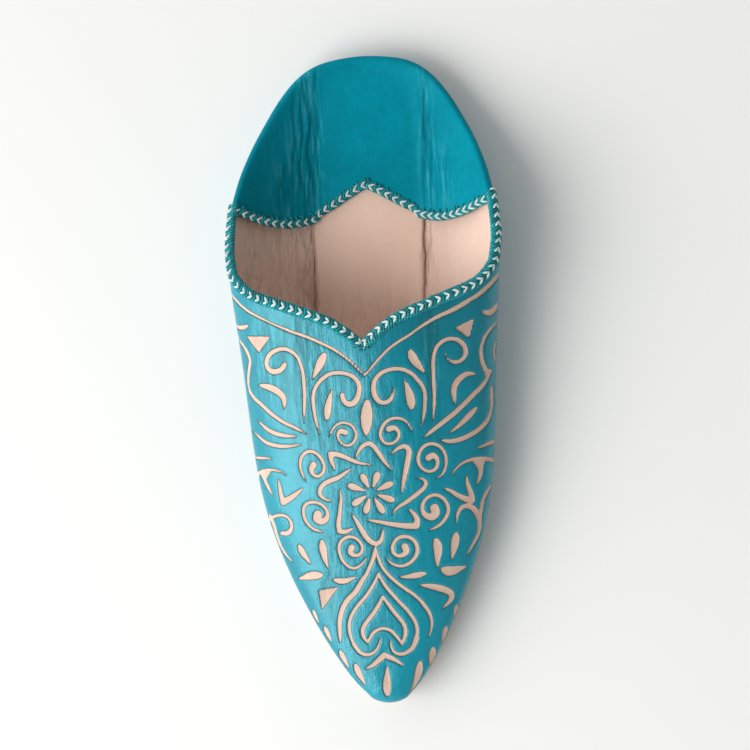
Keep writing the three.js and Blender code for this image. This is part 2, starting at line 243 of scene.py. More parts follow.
def on_last(side, at, up, inset=0.0, foot_height=seam_height):
    """Points of the last's surface. Up 0 is the seam, 1 the widest line and 2 the ridge."""
    at, up, inset = (np.asarray(v, float) for v in np.broadcast_arrays(at, up, inset))
    wide = inset_line(wide_line, side, at, inset)
    foot = inset_line(seam_line, side, at, foot_inset(at, inset))
    low = np.minimum(up, 1) * np.pi / 2
    power = 2 / tuck_at(at)
    share = np.sin(low) ** power
    low_plan = foot + (wide - foot) * share[..., None]
    floor = foot_height(foot[..., 1])
    low_height = wide_height(at) + (floor - wide_height(at)) * np.maximum(np.cos(low), 0) ** power

    fan = np.maximum(at - RIDGE_FAN, 0) / (1 - RIDGE_FAN)
    rest = RIDGE_END - RIDGE_FAN
    place = np.minimum(at, RIDGE_FAN) + rest * fan + (1 - RIDGE_FAN - rest) * fan * (1 - fan)
    top = np.stack([middle(-place * LENGTH), -place * LENGTH], -1)
    high = np.clip(up - 1, 0, 1) * np.pi / 2
    power = 2 / arch_at(at)
    share = np.where(up >= 2, 0, np.maximum(np.cos(high), 0) ** power)
    high_plan = top + (wide - top) * share[..., None]
    ridge = ridge_share(place) * INSTEP_HEIGHT - inset
    high_height = wide_height(at) + (ridge - wide_height(at)) * np.sin(high) ** power

    low_part = np.concatenate([low_plan, low_height[..., None]], -1)
    high_part = np.concatenate([high_plan, high_height[..., None]], -1)
    points = np.where((up <= 1)[..., None], low_part, high_part)
    return points + LAST_PLACE


def edge_of(at):
    """How far up the leather goes: to the rim, to the collar or to the ridge."""
    cut = 1 + 2 / np.pi * np.arccos(np.minimum(1, collar_out(at) ** (arch_at(at) / 2)))
    return np.where(at >= THROAT, 2.0, cut)


# Outsole: one piece of undyed cowhide, flat, with the toe lifted a little and its edge rubbed round. It is
# sewn with waxed linen thread through a channel that runs round it, which shows from below.
SOLE_MARGIN = 1.2
SOLE_EDGE_ROUND = 1.4
CHANNEL_INSET = 5
CHANNEL_DEPTH = 0.6
SEWING_THREAD = 0.25
SEWING_PITCH = 5.0
SEWING_LENGTH = 4.2
SEWING_SINK = 0.5  # how far a stitch's ends go up into the leather
SEWING_LEAST = 3  # the strip left between the two seams where they stop


def run(*stretches):
    """Places along the slipper: each stretch has a start, an end, a count and how it's packed."""
    places = []
    for start, end, count, packed in stretches:
        s = np.arange(count) / count
        s = {"even": s, "start": s * s, "end": 1 - (1 - s) ** 2}[packed]
        places.append(start + (end - start) * s)
    return np.concatenate(places + [[stretches[-1][1]]])


def grid(rows, columns, start=0, flipped=False):
    """Faces of a net of points, row by row."""
    i, j = np.meshgrid(np.arange(rows - 1), np.arange(columns - 1), indexing="ij")
    a = (start + i * columns + j).ravel()
    faces = np.stack([a, a + 1, a + columns + 1, a + columns], -1)
    return faces[:, ::-1] if flipped else faces


def make_piece(name, nets, materials):
    """One mesh from several nets, welded where they meet. A net is points, flipped and material number."""
    points, faces, finish = [], [], []
    start = 0
    for net, flipped, number in nets:
        net = np.asarray(net, float)
        made = grid(net.shape[0], net.shape[1], start, flipped)
        points.append(net.reshape(-1, 3) / 1000)
        faces.append(made)
        finish.append(np.full(len(made), number))
        start += net.shape[0] * net.shape[1]
    mesh = bpy.data.meshes.new(name)
    mesh.from_pydata(np.concatenate(points).tolist(), [], np.concatenate(faces).tolist())
    for material in materials:
        mesh.materials.append(material)
    mesh.polygons.foreach_set("material_index", np.concatenate(finish).astype("int32"))
    mesh.polygons.foreach_set("use_smooth", np.ones(len(mesh.polygons), bool))
    work = bmesh.new()
    work.from_mesh(mesh)
    bmesh.ops.remove_doubles(work, verts=work.verts, dist=2e-6)
    bmesh.ops.dissolve_degenerate(work, edges=work.edges, dist=1e-7)
    work.to_mesh(mesh)
    work.free()
    piece = bpy.data.objects.new(name, mesh)
    bpy.context.scene.collection.objects.link(piece)
    return piece


class Wire:
    """One socket of a finish, so that its recipe reads as sums."""

    def __init__(self, socket):
        self.socket = socket

    def node(self, kind, settings, sockets, out=0):
        made = self.socket.id_data.nodes.new(kind)
        for name, value in settings.items():
            if name == "stops":
                ramp = made.color_ramp
                while len(ramp.elements) < len(value):
                    ramp.elements.new(0.5)
                for stop, (place, colour) in zip(ramp.elements, value):
                    stop.position = place
                    stop.color = colour
            else:
                setattr(made, name, value)
        for key, value in sockets.items():
            if isinstance(value, Wire):
                self.socket.id_data.links.new(value.socket, made.inputs[key])
            else:
                made.inputs[key].default_value = value
        return Wire(made.outputs[out])

    def math(self, operation, *terms):
        return self.node("ShaderNodeMath", {"operation": operation}, dict(enumerate(terms)))

    def __add__(self, other):
        return self.math("ADD", self, other)

    __radd__ = __add__

    def __sub__(self, other):
        return self.math("SUBTRACT", self, other)

    def __rsub__(self, other):
        return self.math("SUBTRACT", other, self)

    def __mul__(self, other):
        return self.math("MULTIPLY", self, other)

    __rmul__ = __mul__

    def __truediv__(self, other):
        return self.math("DIVIDE", self, other)

    def power(self, other):
        return self.math("POWER", self, other)

    def between(self, low, high):
        """0 below low, 1 above high and a soft step between them."""
        settings = {"interpolation_type": "SMOOTHSTEP"}
        return self.node("ShaderNodeMapRange", settings, {0: self, 1: low, 2: high, 3: 0.0, 4: 1.0})

    def blend(self, here, there):
        """Colour here where this value is 0 and there where it is 1."""
        return self.node("ShaderNodeMix", {"data_type": "RGBA"}, {0: self, 6: here, 7: there}, 2)

    def stretched(self, x, y, z):
        settings = {"vector_type": "POINT"}
        return self.node("ShaderNodeMapping", settings, {0: self, 3: (x, y, z)})

    def noise(self, scale, detail=3.0, rough=0.55):
        sockets = {"Vector": self, "Scale": scale, "Detail": detail, "Roughness": rough}
        return self.node("ShaderNodeTexNoise", {}, sockets)

    def cells(self, scale, feature="F1"):
        return self.node("ShaderNodeTexVoronoi", {"feature": feature}, {"Vector": self, "Scale": scale})

    def attribute(self, name):
        return self.node("ShaderNodeAttribute", {"attribute_name": name}, {}, 2)

    def bump(self, height, distance, normal=None):
        sockets = {"Height": height, "Distance": distance, "Strength": 1.0}
        if normal is not None:
            sockets["Normal"] = normal
        return self.node("ShaderNodeBump", {}, sockets)


def colour(red, green, blue):
    """A colour as it is read off a picture, 0 to 255, made linear for the shader."""
    parts = [value / 255 for value in (red, green, blue)]
    return tuple(v / 12.92 if v < 0.04045 else ((v + 0.055) / 1.055) ** 2.4 for v in parts) + (1.0,)


def new_finish(name):
    """A material, its surface shader, a wire to start from and the place on the object in metres."""
    made = bpy.data.materials.new(name)
    made.use_nodes = True
    surface = made.node_tree.nodes["Principled BSDF"]
    start = Wire(surface.outputs[0])
    return made, surface, start.node("ShaderNodeTexCoord", {}, {}, 3)


def wear(surface, **sockets):
    """Puts wires and plain values on a surface shader's sockets."""
    for name, value in sockets.items():
        target = surface.inputs[name.replace("_", " ")]
        if isinstance(value, Wire):
            surface.id_data.links.new(value.socket, target)
        else:
            target.default_value = value


def natural_sole():
    made, surface, place = new_finish("sole_leather")
    fibre = place.stretched(1, 0.35, 1).noise(420.0, 4.0, 0.6)
    blotch = place.noise(28.0, 3.0)
    tread = place.stretched(1, 0.6, 1).noise(75.0, 5.0, 0.7).between(0.52, 0.72)
    tan = fibre.blend(colour(186, 142, 106), colour(214, 176, 140))
    tan = (blotch.between(0.35, 0.75) * 0.45).blend(tan, colour(166, 122, 88))
    tan = (tread * 0.35).blend(tan, colour(120, 98, 82))
    wear(surface, Base_Color=tan, Roughness=0.62 + 0.2 * fibre)
    wear(surface, Normal=place.bump(fibre * 0.6 + tread * 0.4, 0.00025))
    return made


def tube(path, radius, sides=6):
    """A net round a path, drawn in to a point at both ends."""
    path = np.asarray(path, float)
    along = np.gradient(path, axis=0)
    along /= np.linalg.norm(along, axis=1, keepdims=True)
    across = np.cross(along, (0.13, 0.21, 0.97))
    across /= np.linalg.norm(across, axis=1, keepdims=True)
    up = np.cross(across, along)
    angle = np.linspace(0, 2 * np.pi, sides + 1)
    radius = np.broadcast_to(radius, len(path))[:, None, None]
    ring = np.cos(angle)[None, :, None] * across[:, None] + np.sin(angle)[None, :, None] * up[:, None]
    net = path[:, None] + radius * ring
    return np.concatenate([path[None, :1].repeat(sides + 1, 1), net, path[None, -1:].repeat(sides + 1, 1)])


def length_of(path):
    """How far along a path each of its points is."""
    return np.concatenate([[0], np.cumsum(np.linalg.norm(np.diff(path, axis=0), axis=1))])


def read_off(path, length, steps):
    """Places on a path at given lengths along it."""
    return np.stack([np.interp(steps, length, path[:, k]) for k in range(path.shape[1])], -1)


def plate(name, inset, bottom, top, bevel, materials, groove=0.0, spread=lambda side, at: 0 * at):
    """A flat piece along the seam's outline with rounded edges. Spread makes its top wider than its bottom."""
    at = run((0, 0.06, 18, "start"), (0.06, 0.9, 180, "even"), (0.9, 1, 30, "end"))
    shares = np.concatenate([[0, 0.006, 0.014, 0.03], np.linspace(0.06, 0.94, 23), [0.97, 0.986, 0.994, 1]])
    nets = []
    for height, sign in ((bottom, 1), (top, -1)):
        left, right = (
            inset_line(seam_line, side, at, inset(at) - (spread(side, at) if sign < 0 else 0))
            for side in (-1, 1)
        )
        plan = left[:, None] + (right - left)[:, None] * shares[None, :, None]
        width = np.linalg.norm(right - left, axis=-1)[:, None]
        depth = np.minimum(shares, 1 - shares)[None, :] * width
        round_off = bevel * (1 - np.sqrt(1 - (1 - np.clip(depth / bevel, 0, 1)) ** 2))
        ditch = groove * np.exp(-(((depth - CHANNEL_INSET) / 0.5) ** 2)) if sign > 0 else 0
        z = height(plan[..., 1]) + sign * (round_off + ditch)
        nets.append((np.concatenate([plan, z[..., None]], -1) + LAST_PLACE, sign < 0, 0))
        if sign > 0:
            sewn = (left, right, width, height)
    under, over = nets[0][0], nets[1][0]
    for end in (0, -1):
        nets.append((np.stack([under[:, end], over[:, end]], 1), end == 0, 0))
    left, right, width, height = sewn
    wide = width[:, 0] > 2 * CHANNEL_INSET + SEWING_LEAST
    for near, far in ((left, right), (right, left)) if groove else ():
        seam = near[wide] + (far - near)[wide] * CHANNEL_INSET / width[wide]
        seam = np.column_stack([seam, height(seam[:, 1]) + groove / 2]) + LAST_PLACE
        length = length_of(seam)
        for start in np.arange(1, length[-1] - SEWING_PITCH, SEWING_PITCH):
            steps = start + np.linspace(0, SEWING_LENGTH, 8)
            stitch = read_off(seam, length, steps)
            stitch[[0, -1], 2] += SEWING_SINK
            nets.append((tube(stitch, SEWING_THREAD), True, 1))
    return make_piece(name, nets, materials)


def waxed_thread():
    made, surface, place = new_finish("sewing_thread")
    ply = place.noise(1600.0, 2.0)
    wax = ply.blend(colour(196, 176, 140), colour(232, 218, 188))
    wear(surface, Base_Color=wax, Roughness=0.5 + 0.2 * ply)
    return made


sole_leather = natural_sole()
outsole = plate(
    "outsole_leather",
    lambda at: -SOLE_MARGIN + 0 * at,
    spring,
    lambda y: spring(y) + SOLE_THICKNESS,
    SOLE_EDGE_ROUND,
    [sole_leather, waxed_thread()],
    groove=CHANNEL_DEPTH,
)
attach(outsole, "root")
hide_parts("outsole")

# Insole: thin natural leather pasted over the sewing and pressed against the sides. It was cut by hand, so its
# edge wanders. Under the vamp it is crinkled and painted darker as shade, and its edge is painted darker as
# shade.
WALL = 2
WANDER = 0.35


def natural_lining(name, pale, deep, creased):
    made, surface, place = new_finish(name)
    worn = place.attribute("worn")
    shaded = place.attribute("age")
    grain = place.cells(1500.0)
    nap = place.noise(900.0, 4.0, 0.6)
    drift = place.stretched(1, 0.45, 1).noise(36.0, 4.0)
    fold = place.stretched(1, 0.2, 0.5).noise(330.0, 4.0, 0.6)
    folds = fold.between(0.4, 0.62)
    skin = drift.between(0.3, 0.72).blend(pale, deep)
    skin = ((1 - nap) * 0.35).blend(skin, deep)
    # Painted shade: darker between the folds where the lining is crinkled and on the insole under the vamp.
    skin = ((1 - folds) * worn * 0.35).blend(skin, deep)
    # Painted shade: darker in the lining's creases and along the insole's edge against the sides.
    skin = (shaded * 0.6).blend(skin, colour(120, 84, 66))
    wear(surface, Base_Color=skin, Roughness=0.62 + 0.2 * nap)
    height = grain * 0.1 + nap * 0.2 + folds * (worn * 2.0 + creased)
    wear(surface, Normal=place.bump(height, 0.0004))
    return made


def wander(side, at):
    waves = np.sin(at * 61 + side) + 0.6 * np.sin(at * 143 + 2 * side) + 0.4 * np.sin(at * 310 + side)
    return 0.6 + WANDER * waves * np.sin(np.pi * np.clip(at * 1.2, 0, 1))


insole_leather = natural_lining("natural_insole", colour(252, 220, 202), colour(244, 208, 188), 0.05)
insole = plate(
    "insole_sock",
    lambda at: foot_inset(at, WALL) + GAP,
    seam_height,
    insole_top,
    0.35,
    [insole_leather],
    spread=wander,
)


def spots_of(piece):
    spots = np.empty(len(piece.data.vertices) * 3)
    piece.data.vertices.foreach_get("co", spots)
    return spots.reshape(-1, 3) * 1000


def note(piece, name, values):
    """Keeps one value a vertex for the finish to read."""
    piece.data.attributes.new(name, "FLOAT", "POINT").data.foreach_set("value", values.astype("float32"))


insole_spots = spots_of(insole)
insole_side = np.abs(insole_spots[:, 0] - BOW_AT_COLLAR - middle(insole_spots[:, 1] - LENGTH / 2))
insole_at = np.clip((LENGTH / 2 - insole_spots[:, 1]) / LENGTH, 0, 1)
insole_reach = seam_share(insole_at) * BALL_WIDTH / 2 - foot_inset(insole_at, WALL)
# The insole is painted darker as shade in a thin band along its edge, in the corner against the sides.
note(insole, "age", 0.9 * np.clip((insole_side - insole_reach + 1.1) / 0.8, 0, 1))
# Towards the vamp the insole is painted darker as the vamp's shade and given crinkles.
note(insole, "worn", np.clip((insole_at - 0.34) / 0.12, 0, 0.5))
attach(insole, "root")
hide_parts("insole")

# Upper: vamp, sides and low heel wall in one. Goat leather dyed turquoise outside and pasted on an undyed
# lining. The ornament is cut with a knife and the dyed grain peeled out, so it lies a little below.
CUT_DEPTH = 0.35
CUT_REACH = 2.0  # nothing further than this from a cut is changed by it
CHART = 4.978
CHART_LEFT = 60

WIDTHS = {
    # widths along a cut from its first point to its last, as shares of its widest
    "line": (0.7, 0.95, 1, 1, 1, 0.95, 0.7),
    "leaf": (0, 0.6, 0.9, 1, 0.9, 0.6, 0),
    "drop": (0.6, 1, 1, 0.85, 0.6, 0.35, 0),
    "petal": (0.8, 1, 0.95, 0.8, 0.65, 0.5, 0.35),
    "root": (0, 0.5, 0.65, 0.75, 0.85, 0.95, 1),
    "tail": (1, 0.95, 0.85, 0.75, 0.6, 0.4, 0),
    "blade": (0, 0.85, 1, 1, 1, 1, 1, 0.9, 0.75, 0),
    "bow": (0, 0.55, 0.85, 1, 1, 0.95, 0.8, 0.5, 0),
    "curl": (0, 0.4, 0.5, 0.55, 0.55, 0.55, 0.5, 0.55, 1),
    "spiral": (0, 0.35, 0.42, 0.42, 0.42, 0.42, 0.42, 0.75, 1),
    "crook": (0.1, 0.6, 0.68, 0.68, 0.7, 0.7, 0.85, 1, 0.85),
    "swirl": (0.1, 0.65, 0.75, 0.75, 0.75, 0.8, 1, 0.75, 0.1),
}

# Chart of the cuts: kind, greatest width in millimetres and the places that the cut passes, in fifths of a
# picture unit across and down from the strip's corner. What runs past the outline goes on down the side.
INSTEP_STRIP = 300
BORDER = [
    ("line", 1.4, [(20, -437), (-25, -250), (50, -107), (105, -45), (139, -12), (174, 25), (224, 62),
      (323, 112)]),
    ("line", 1.35, [(323, 112), (423, 154), (523, 190), (622, 234), (672, 264), (722, 301), (772, 348),
      (804, 378)]),
    ("line", 1.2, [(802, 374), (831, 341), (871, 294), (921, 244), (971, 207), (1021, 177), (1070, 142)]),
    ("root", 2.1, [(1000, 190), (1070, 142), (1120, 110), (1170, 82), (1220, 60), (1270, 35), (1319, 5)]),
    ("line", 2.1, [(1319, 5), (1369, -25), (1419, -67), (1459, -110), (1490, -170), (1500, -247)]),
]
INSTEP_CUTS = [
    ("patch", 0.8, [(203, 182), (316, 184), (264, 258)]),
    ("patch", 0.8, [(1259, 140), (1346, 99), (1322, 187)]),
    ("drop", 1.9, [(207, 126), (185, 135), (150, 128), (90, 90)]),
    ("leaf", 3.0, [(1500, -40), (1465, 25), (1445, 52), (1420, 66), (1385, 56)]),
    ("leaf", 1.7, [(1485, 160), (1450, 250), (1472, 350)]),
    ("crook", 2.4, [(498, 630), (494, 590), (495, 540), (496, 470), (490, 385), (479, 330), (462, 290),
      (433, 259), (393, 243), (353, 250), (318, 273), (303, 310), (313, 344), (343, 358), (378, 347),
      (395, 322)]),
    ("swirl", 2.1, [(1143, 618), (1148, 540), (1149, 460), (1145, 373), (1145, 300), (1156, 248),
      (1178, 216), (1210, 197), (1247, 194), (1280, 208), (1304, 240), (1304, 276), (1284, 300),
      (1254, 311), (1226, 301), (1210, 280), (1204, 252)]),
    ("blade", 1.9, [(130, 140), (165, 198), (200, 250), (219, 300), (213, 350), (209, 400), (216, 450),
      (240, 490), (269, 515), (323, 565), (383, 608), (443, 637), (493, 662), (534, 685)]),
    ("root", 2.2, [(1510, 75), (1461, 114), (1429, 149), (1400, 189), (1385, 239), (1386, 289), (1400, 334),
      (1422, 366)]),
    ("patch", 1.0, [(1404, 345), (1438, 352), (1413, 398)]),
    ("blade", 2.1, [(1440, 352), (1418, 385), (1394, 423), (1344, 473), (1294, 523), (1245, 568),
      (1195, 608), (1145, 647), (1088, 694)]),
    ("leaf", 3.2, [(262, 425), (323, 438), (373, 468), (392, 500), (393, 550)]),
    ("leaf", 2.7, [(1362, 372), (1320, 367), (1284, 386), (1258, 415), (1247, 450), (1249, 490),
      (1254, 530)]),
    ("drop", 3.4, [(598, 272), (578, 312), (535, 398)]),
    ("drop", 3.4, [(1030, 258), (1050, 300), (1106, 368)]),
    ("crook", 2.4, [(582, 686), (568, 655), (556, 610), (546, 560), (540, 500), (547, 448), (572, 408),
      (612, 375), (657, 363), (707, 368), (748, 388), (772, 425), (770, 465), (758, 500), (727, 522),
      (697, 506), (687, 474)]),
    ("swirl", 2.2, [(1076, 650), (1092, 600), (1101, 540), (1103, 475), (1091, 430), (1068, 402),
      (1046, 376), (1006, 351), (961, 343), (916, 350), (876, 370), (850, 405), (845, 450), (858, 490),
      (886, 512), (920, 506), (940, 478), (943, 438), (932, 408)]),
    ("drop", 3.0, [(610, 590), (614, 548), (625, 490), (637, 440)]),
    ("drop", 3.5, [(1036, 535), (1028, 480), (1001, 396)]),
    ("leaf", 4.8, [(814, 494), (810, 588), (808, 676)]),
    ("curl", 2.4, [(620, 705), (628, 668), (652, 630), (690, 613), (735, 628), (757, 668), (747, 708),
      (717, 728), (683, 715), (665, 683), (675, 655), (703, 662)]),
    ("curl", 2.6, [(1050, 680), (1030, 635), (1000, 600), (955, 589), (912, 605), (885, 640), (880, 680),
      (900, 712), (935, 717), (965, 695), (972, 662), (950, 638), (922, 644)]),
    ("leaf", 2.0, [(248, 590), (289, 632), (323, 657), (373, 675), (420, 681), (472, 683)]),
    ("drop", 2.5, [(1358, 540), (1325, 575), (1290, 610), (1250, 645), (1215, 668)]),
    ("leaf", 1.8, [(228, 648), (284, 702), (323, 722), (383, 733), (443, 729), (502, 719)]),
    ("drop", 2.4, [(1436, 430), (1438, 470), (1439, 520), (1430, 566), (1405, 612)]),
    ("blade", 2.1, [(1440, 520), (1428, 573), (1408, 610), (1368, 648), (1319, 677), (1269, 697),
      (1220, 704), (1174, 694)]),
    ("leaf", 1.3, [(205, 780), (260, 790), (300, 793), (345, 798)]),
    ("tail", 2.4, [(1510, 680), (1449, 703), (1404, 722), (1356, 742)]),
    ("bow", 2.0, [(750, 803), (764, 769), (780, 740), (803, 722), (828, 717), (848, 734), (876, 772),
      (906, 815), (950, 864)]),
    ("tail", 2.3, [(628, 770), (665, 773), (712, 790), (765, 812), (852, 827)]),
    ("tail", 2.2, [(628, 770), (633, 805), (653, 853)]),
    ("bow", 2.3, [(924, 778), (958, 748), (990, 731), (1013, 735), (1023, 760), (1017, 800), (1008, 847),
      (997, 900), (986, 976)]),
    ("bow", 2.1, [(743, 836), (700, 866), (672, 886), (640, 899), (612, 911), (585, 932), (572, 962),
      (584, 985), (612, 1001), (655, 1009)]),
    ("bow", 1.9, [(1048, 888), (1080, 890), (1104, 900), (1104, 926), (1082, 952), (1050, 978),
      (1010, 1008), (960, 1042), (933, 1084)]),
    ("curl", 2.8, [(520, 926), (492, 885), (475, 840), (478, 795), (500, 765), (535, 758), (570, 780),
      (592, 815), (595, 850), (575, 880), (545, 878), (530, 850), (542, 825)]),
    ("curl", 2.7, [(1130, 884), (1165, 886), (1195, 860), (1208, 815), (1203, 770), (1180, 733),
      (1140, 717), (1100, 728), (1073, 765), (1070, 810), (1095, 845), (1130, 855), (1158, 838),
      (1165, 800), (1145, 774), (1120, 787)]),
    ("tail", 1.9, [(225, 905), (262, 870), (309, 852), (363, 857), (398, 874), (427, 906)]),
    ("patch", 0.8, [(272, 872), (322, 860), (292, 905)]),
    ("tail", 2.6, [(284, 872), (293, 898), (312, 940), (336, 982)]),
    ("tail", 2.1, [(1520, 800), (1454, 797), (1394, 789), (1334, 795), (1284, 817), (1248, 853),
      (1220, 902)]),
    ("patch", 0.8, [(1345, 803), (1402, 800), (1379, 850)]),
    ("tail", 2.6, [(1381, 815), (1382, 850), (1377, 880), (1363, 918)]),
    ("tail", 2.6, [(387, 1014), (377, 975), (370, 935), (361, 897)]),
    ("tail", 2.8, [(387, 1014), (412, 1000), (432, 988), (466, 962), (492, 940)]),
    ("root", 2.6, [(1196, 936), (1236, 954), (1283, 982), (1338, 999)]),
    ("tail", 2.6, [(1338, 999), (1333, 960), (1318, 925), (1308, 866)]),
    ("crook", 2.1, [(300, 1120), (318, 1100), (345, 1085), (378, 1079), (408, 1088), (426, 1112),
      (430, 1140), (415, 1168), (380, 1170)]),
    ("tail", 3.0, [(322, 1090), (338, 1125), (350, 1165), (373, 1230), (408, 1284), (447, 1324)]),
    ("spiral", 3.6, [(614, 1162), (575, 1158), (540, 1145), (508, 1115), (491, 1070), (497, 1030),
      (530, 1013), (570, 1018), (602, 1043), (613, 1075), (600, 1103), (572, 1108), (556, 1092),
      (564, 1074)]),
]
TOE_STRIP = 480
TOE_CUTS = [
    ("spiral", 3.7, [(1105, 256), (1145, 243), (1182, 220), (1208, 185), (1219, 150), (1210, 113),
      (1185, 87), (1155, 76), (1120, 86), (1095, 113), (1088, 145), (1103, 175), (1135, 187), (1156, 168),
      (1150, 142)]),
    ("root", 2.2, [(674, 42), (682, 95), (677, 141), (673, 188), (668, 225), (673, 260)]),
    ("tail", 2.3, [(673, 260), (698, 264), (720, 257), (742, 245)]),
    ("bow", 2.3, [(726, 162), (749, 192), (777, 239), (805, 285), (833, 313), (861, 322), (882, 305),
      (891, 272), (894, 236)]),
    ("root", 2.6, [(800, 202), (865, 211), (934, 223), (1004, 231), (1060, 232)]),
    ("tail", 2.6, [(1060, 232), (1064, 205), (1050, 174), (1020, 144)]),
    ("bow", 2.4, [(1262, 226), (1265, 175), (1282, 142), (1310, 129), (1342, 140), (1366, 172), (1378, 215),
      (1371, 267), (1348, 313), (1303, 388)]),
    ("blade", 2.1, [(1490, -40), (1436, 28), (1413, 62), (1394, 100), (1385, 146), (1380, 205)]),
    ("drop", 2.9, [(470, 338), (492, 378), (530, 428)]),
    ("drop", 3.2, [(585, 315), (592, 360), (600, 400), (618, 450)]),
    ("drop", 3.6, [(1158, 302), (1168, 345), (1166, 385), (1165, 437)]),
    ("drop", 3.4, [(1258, 272), (1252, 320), (1236, 396)]),
    ("drop", 3.5, [(578, 482), (530, 486), (468, 502)]),
    ("drop", 4.0, [(1195, 447), (1230, 455), (1265, 445), (1310, 431)]),
    ("drop", 2.6, [(650, 506), (690, 511), (725, 502), (764, 487)]),
    ("drop", 2.6, [(1100, 468), (1065, 476), (1020, 484), (970, 487)]),
    ("curl", 2.7, [(823, 370), (800, 407), (775, 434), (745, 446), (713, 433), (686, 402), (672, 360),
      (675, 322), (697, 298), (730, 288), (765, 302), (787, 335), (782, 370), (755, 382), (728, 368),
      (735, 342)]),
    ("curl", 3.0, [(897, 366), (920, 406), (950, 426), (985, 432), (1020, 420), (1050, 392), (1064, 355),
      (1058, 320), (1035, 294), (1000, 284), (965, 295), (943, 325), (940, 355), (958, 378), (985, 380),
      (1008, 362), (1002, 335)]),
    ("patch", 0.7, [(662, 545), (572, 562), (586, 648)]),
    ("bow", 2.8, [(1072, 526), (1125, 530), (1180, 541), (1218, 555), (1237, 575), (1228, 603),
      (1190, 642)]),
    ("line", 1.7, [(854, 345), (838, 410), (805, 482), (775, 528)]),
    ("blade", 2.2, [(815, 462), (775, 528), (753, 565), (713, 607), (689, 650), (676, 700), (674, 750),
      (678, 828)]),
    ("line", 1.5, [(854, 345), (880, 422), (911, 468), (950, 505), (997, 541), (1046, 573), (1088, 612),
      (1120, 656)]),
    ("tail", 1.7, [(1088, 612), (1120, 656), (1136, 702), (1133, 750), (1114, 800)]),
    ("line", 1.6, [(870, 470), (850, 515), (812, 578), (770, 627), (737, 677), (722, 725), (726, 775),
      (745, 825), (772, 862)]),
    ("tail", 1.9, [(745, 825), (772, 862), (805, 877), (840, 870), (865, 843), (876, 812), (882, 780)]),
    ("line", 1.6, [(870, 470), (885, 502), (912, 542), (967, 604), (1012, 650), (1046, 696), (1063, 742),
      (1060, 787), (1045, 832)]),
    ("tail", 2.1, [(1060, 787), (1045, 832), (1016, 860), (983, 872), (950, 862), (934, 835), (929, 788)]),
    ("line", 1.8, [(891, 586), (868, 632), (838, 678), (809, 716), (790, 752), (795, 790), (817, 815)]),
    ("line", 1.7, [(891, 586), (922, 628), (957, 673), (990, 712), (1004, 748), (1001, 785), (986, 820)]),
    ("line", 1.5, [(817, 812), (840, 772), (868, 751), (899, 745), (933, 757), (962, 786), (986, 818)]),
    ("tail", 2.6, [(899, 879), (866, 908), (840, 930), (803, 949)]),
    ("tail", 2.4, [(899, 879), (935, 892), (965, 908), (997, 929)]),
    ("drop", 3.3, [(913, 1072), (912, 1020), (914, 932)]),
    ("drop", 3.0, [(755, 932), (770, 970), (804, 1030)]),
    ("drop", 2.8, [(678, 865), (692, 895), (721, 948)]),
    ("drop", 2.6, [(600, 745), (610, 770), (633, 816)]),
    ("drop", 2.3, [(541, 662), (551, 688), (568, 724)]),
    ("drop", 3.2, [(1078, 915), (1072, 960), (1058, 1010), (1031, 1068)]),
    ("drop", 3.4, [(1143, 845), (1142, 880), (1130, 942)]),
    ("drop", 3.0, [(1208, 738), (1204, 772), (1188, 828)]),
    ("drop", 3.0, [(1262, 630), (1259, 665), (1248, 724)]),
    ("drop", 2.9, [(1312, 535), (1306, 565), (1290, 612)]),
    ("drop", 2.6, [(1347, 440), (1342, 470), (1330, 508)]),
]
FLOWER = np.array([833, 963])
PETAL_TIPS = [
    (955, 1003), (899, 1068), (803, 1070), (735, 1027), (711, 924), (784, 868), (870, 857), (945, 911),
]
PETAL_WIDTH = 2.9
# A pointed end is run out a little past its last place, and stops where half its width is under the thinnest.
RUN_OUT = 8
THINNEST_CUT = 0.25


def curve(points, spacing=0.3):
    """A smooth curve through points, with how far along it each of its steps is, 0 to 1."""
    points = np.asarray(points, float)
    if len(points) > 2:
        ends = 2 * points[:1] - points[1:2], 2 * points[-1:] - points[-2:-1]
        p = np.concatenate([ends[0], points, ends[1]])
        s = np.linspace(0, 1, 12, endpoint=False)[:, None]
        parts = []
        for a, b, c, d in zip(p, p[1:], p[2:], p[3:]):
            cubic = 2 * b + (c - a) * s + (2 * a - 5 * b + 4 * c - d) * s**2 + (3 * b - a - 3 * c + d) * s**3
            parts.append(cubic / 2)
        points = np.concatenate(parts + [points[-1:]])
    length = length_of(points)
    steps = np.linspace(0, length[-1], max(3, int(length[-1] / spacing) + 1))
    return read_off(points, length, steps), steps / length[-1]


def laid(points, strip, tree):
    """Charted places laid on the leather. One that misses it goes down the side by as much as it misses."""
    placed = []
    for across, down in points:
        line = sight(CHART_LEFT + across / CHART, strip + down / CHART)
        hit = tree.ray_cast(Vector(EYE / 1000), Vector(line).normalized())[0]
        if hit is None:
            heights = np.arange(8, 44, 1.0)
            spots = [EYE + line * (EYE[2] - z) / EYE[2] for z in heights]
            found = [tree.find_nearest(Vector(spot / 1000)) for spot in spots]
            hit, _, _, miss = min(found, key=lambda item: item[3])
            hit = tree.find_nearest(hit - Vector((0, 0, miss)))[0]
        placed.append(np.array(hit) * 1000)
    return placed


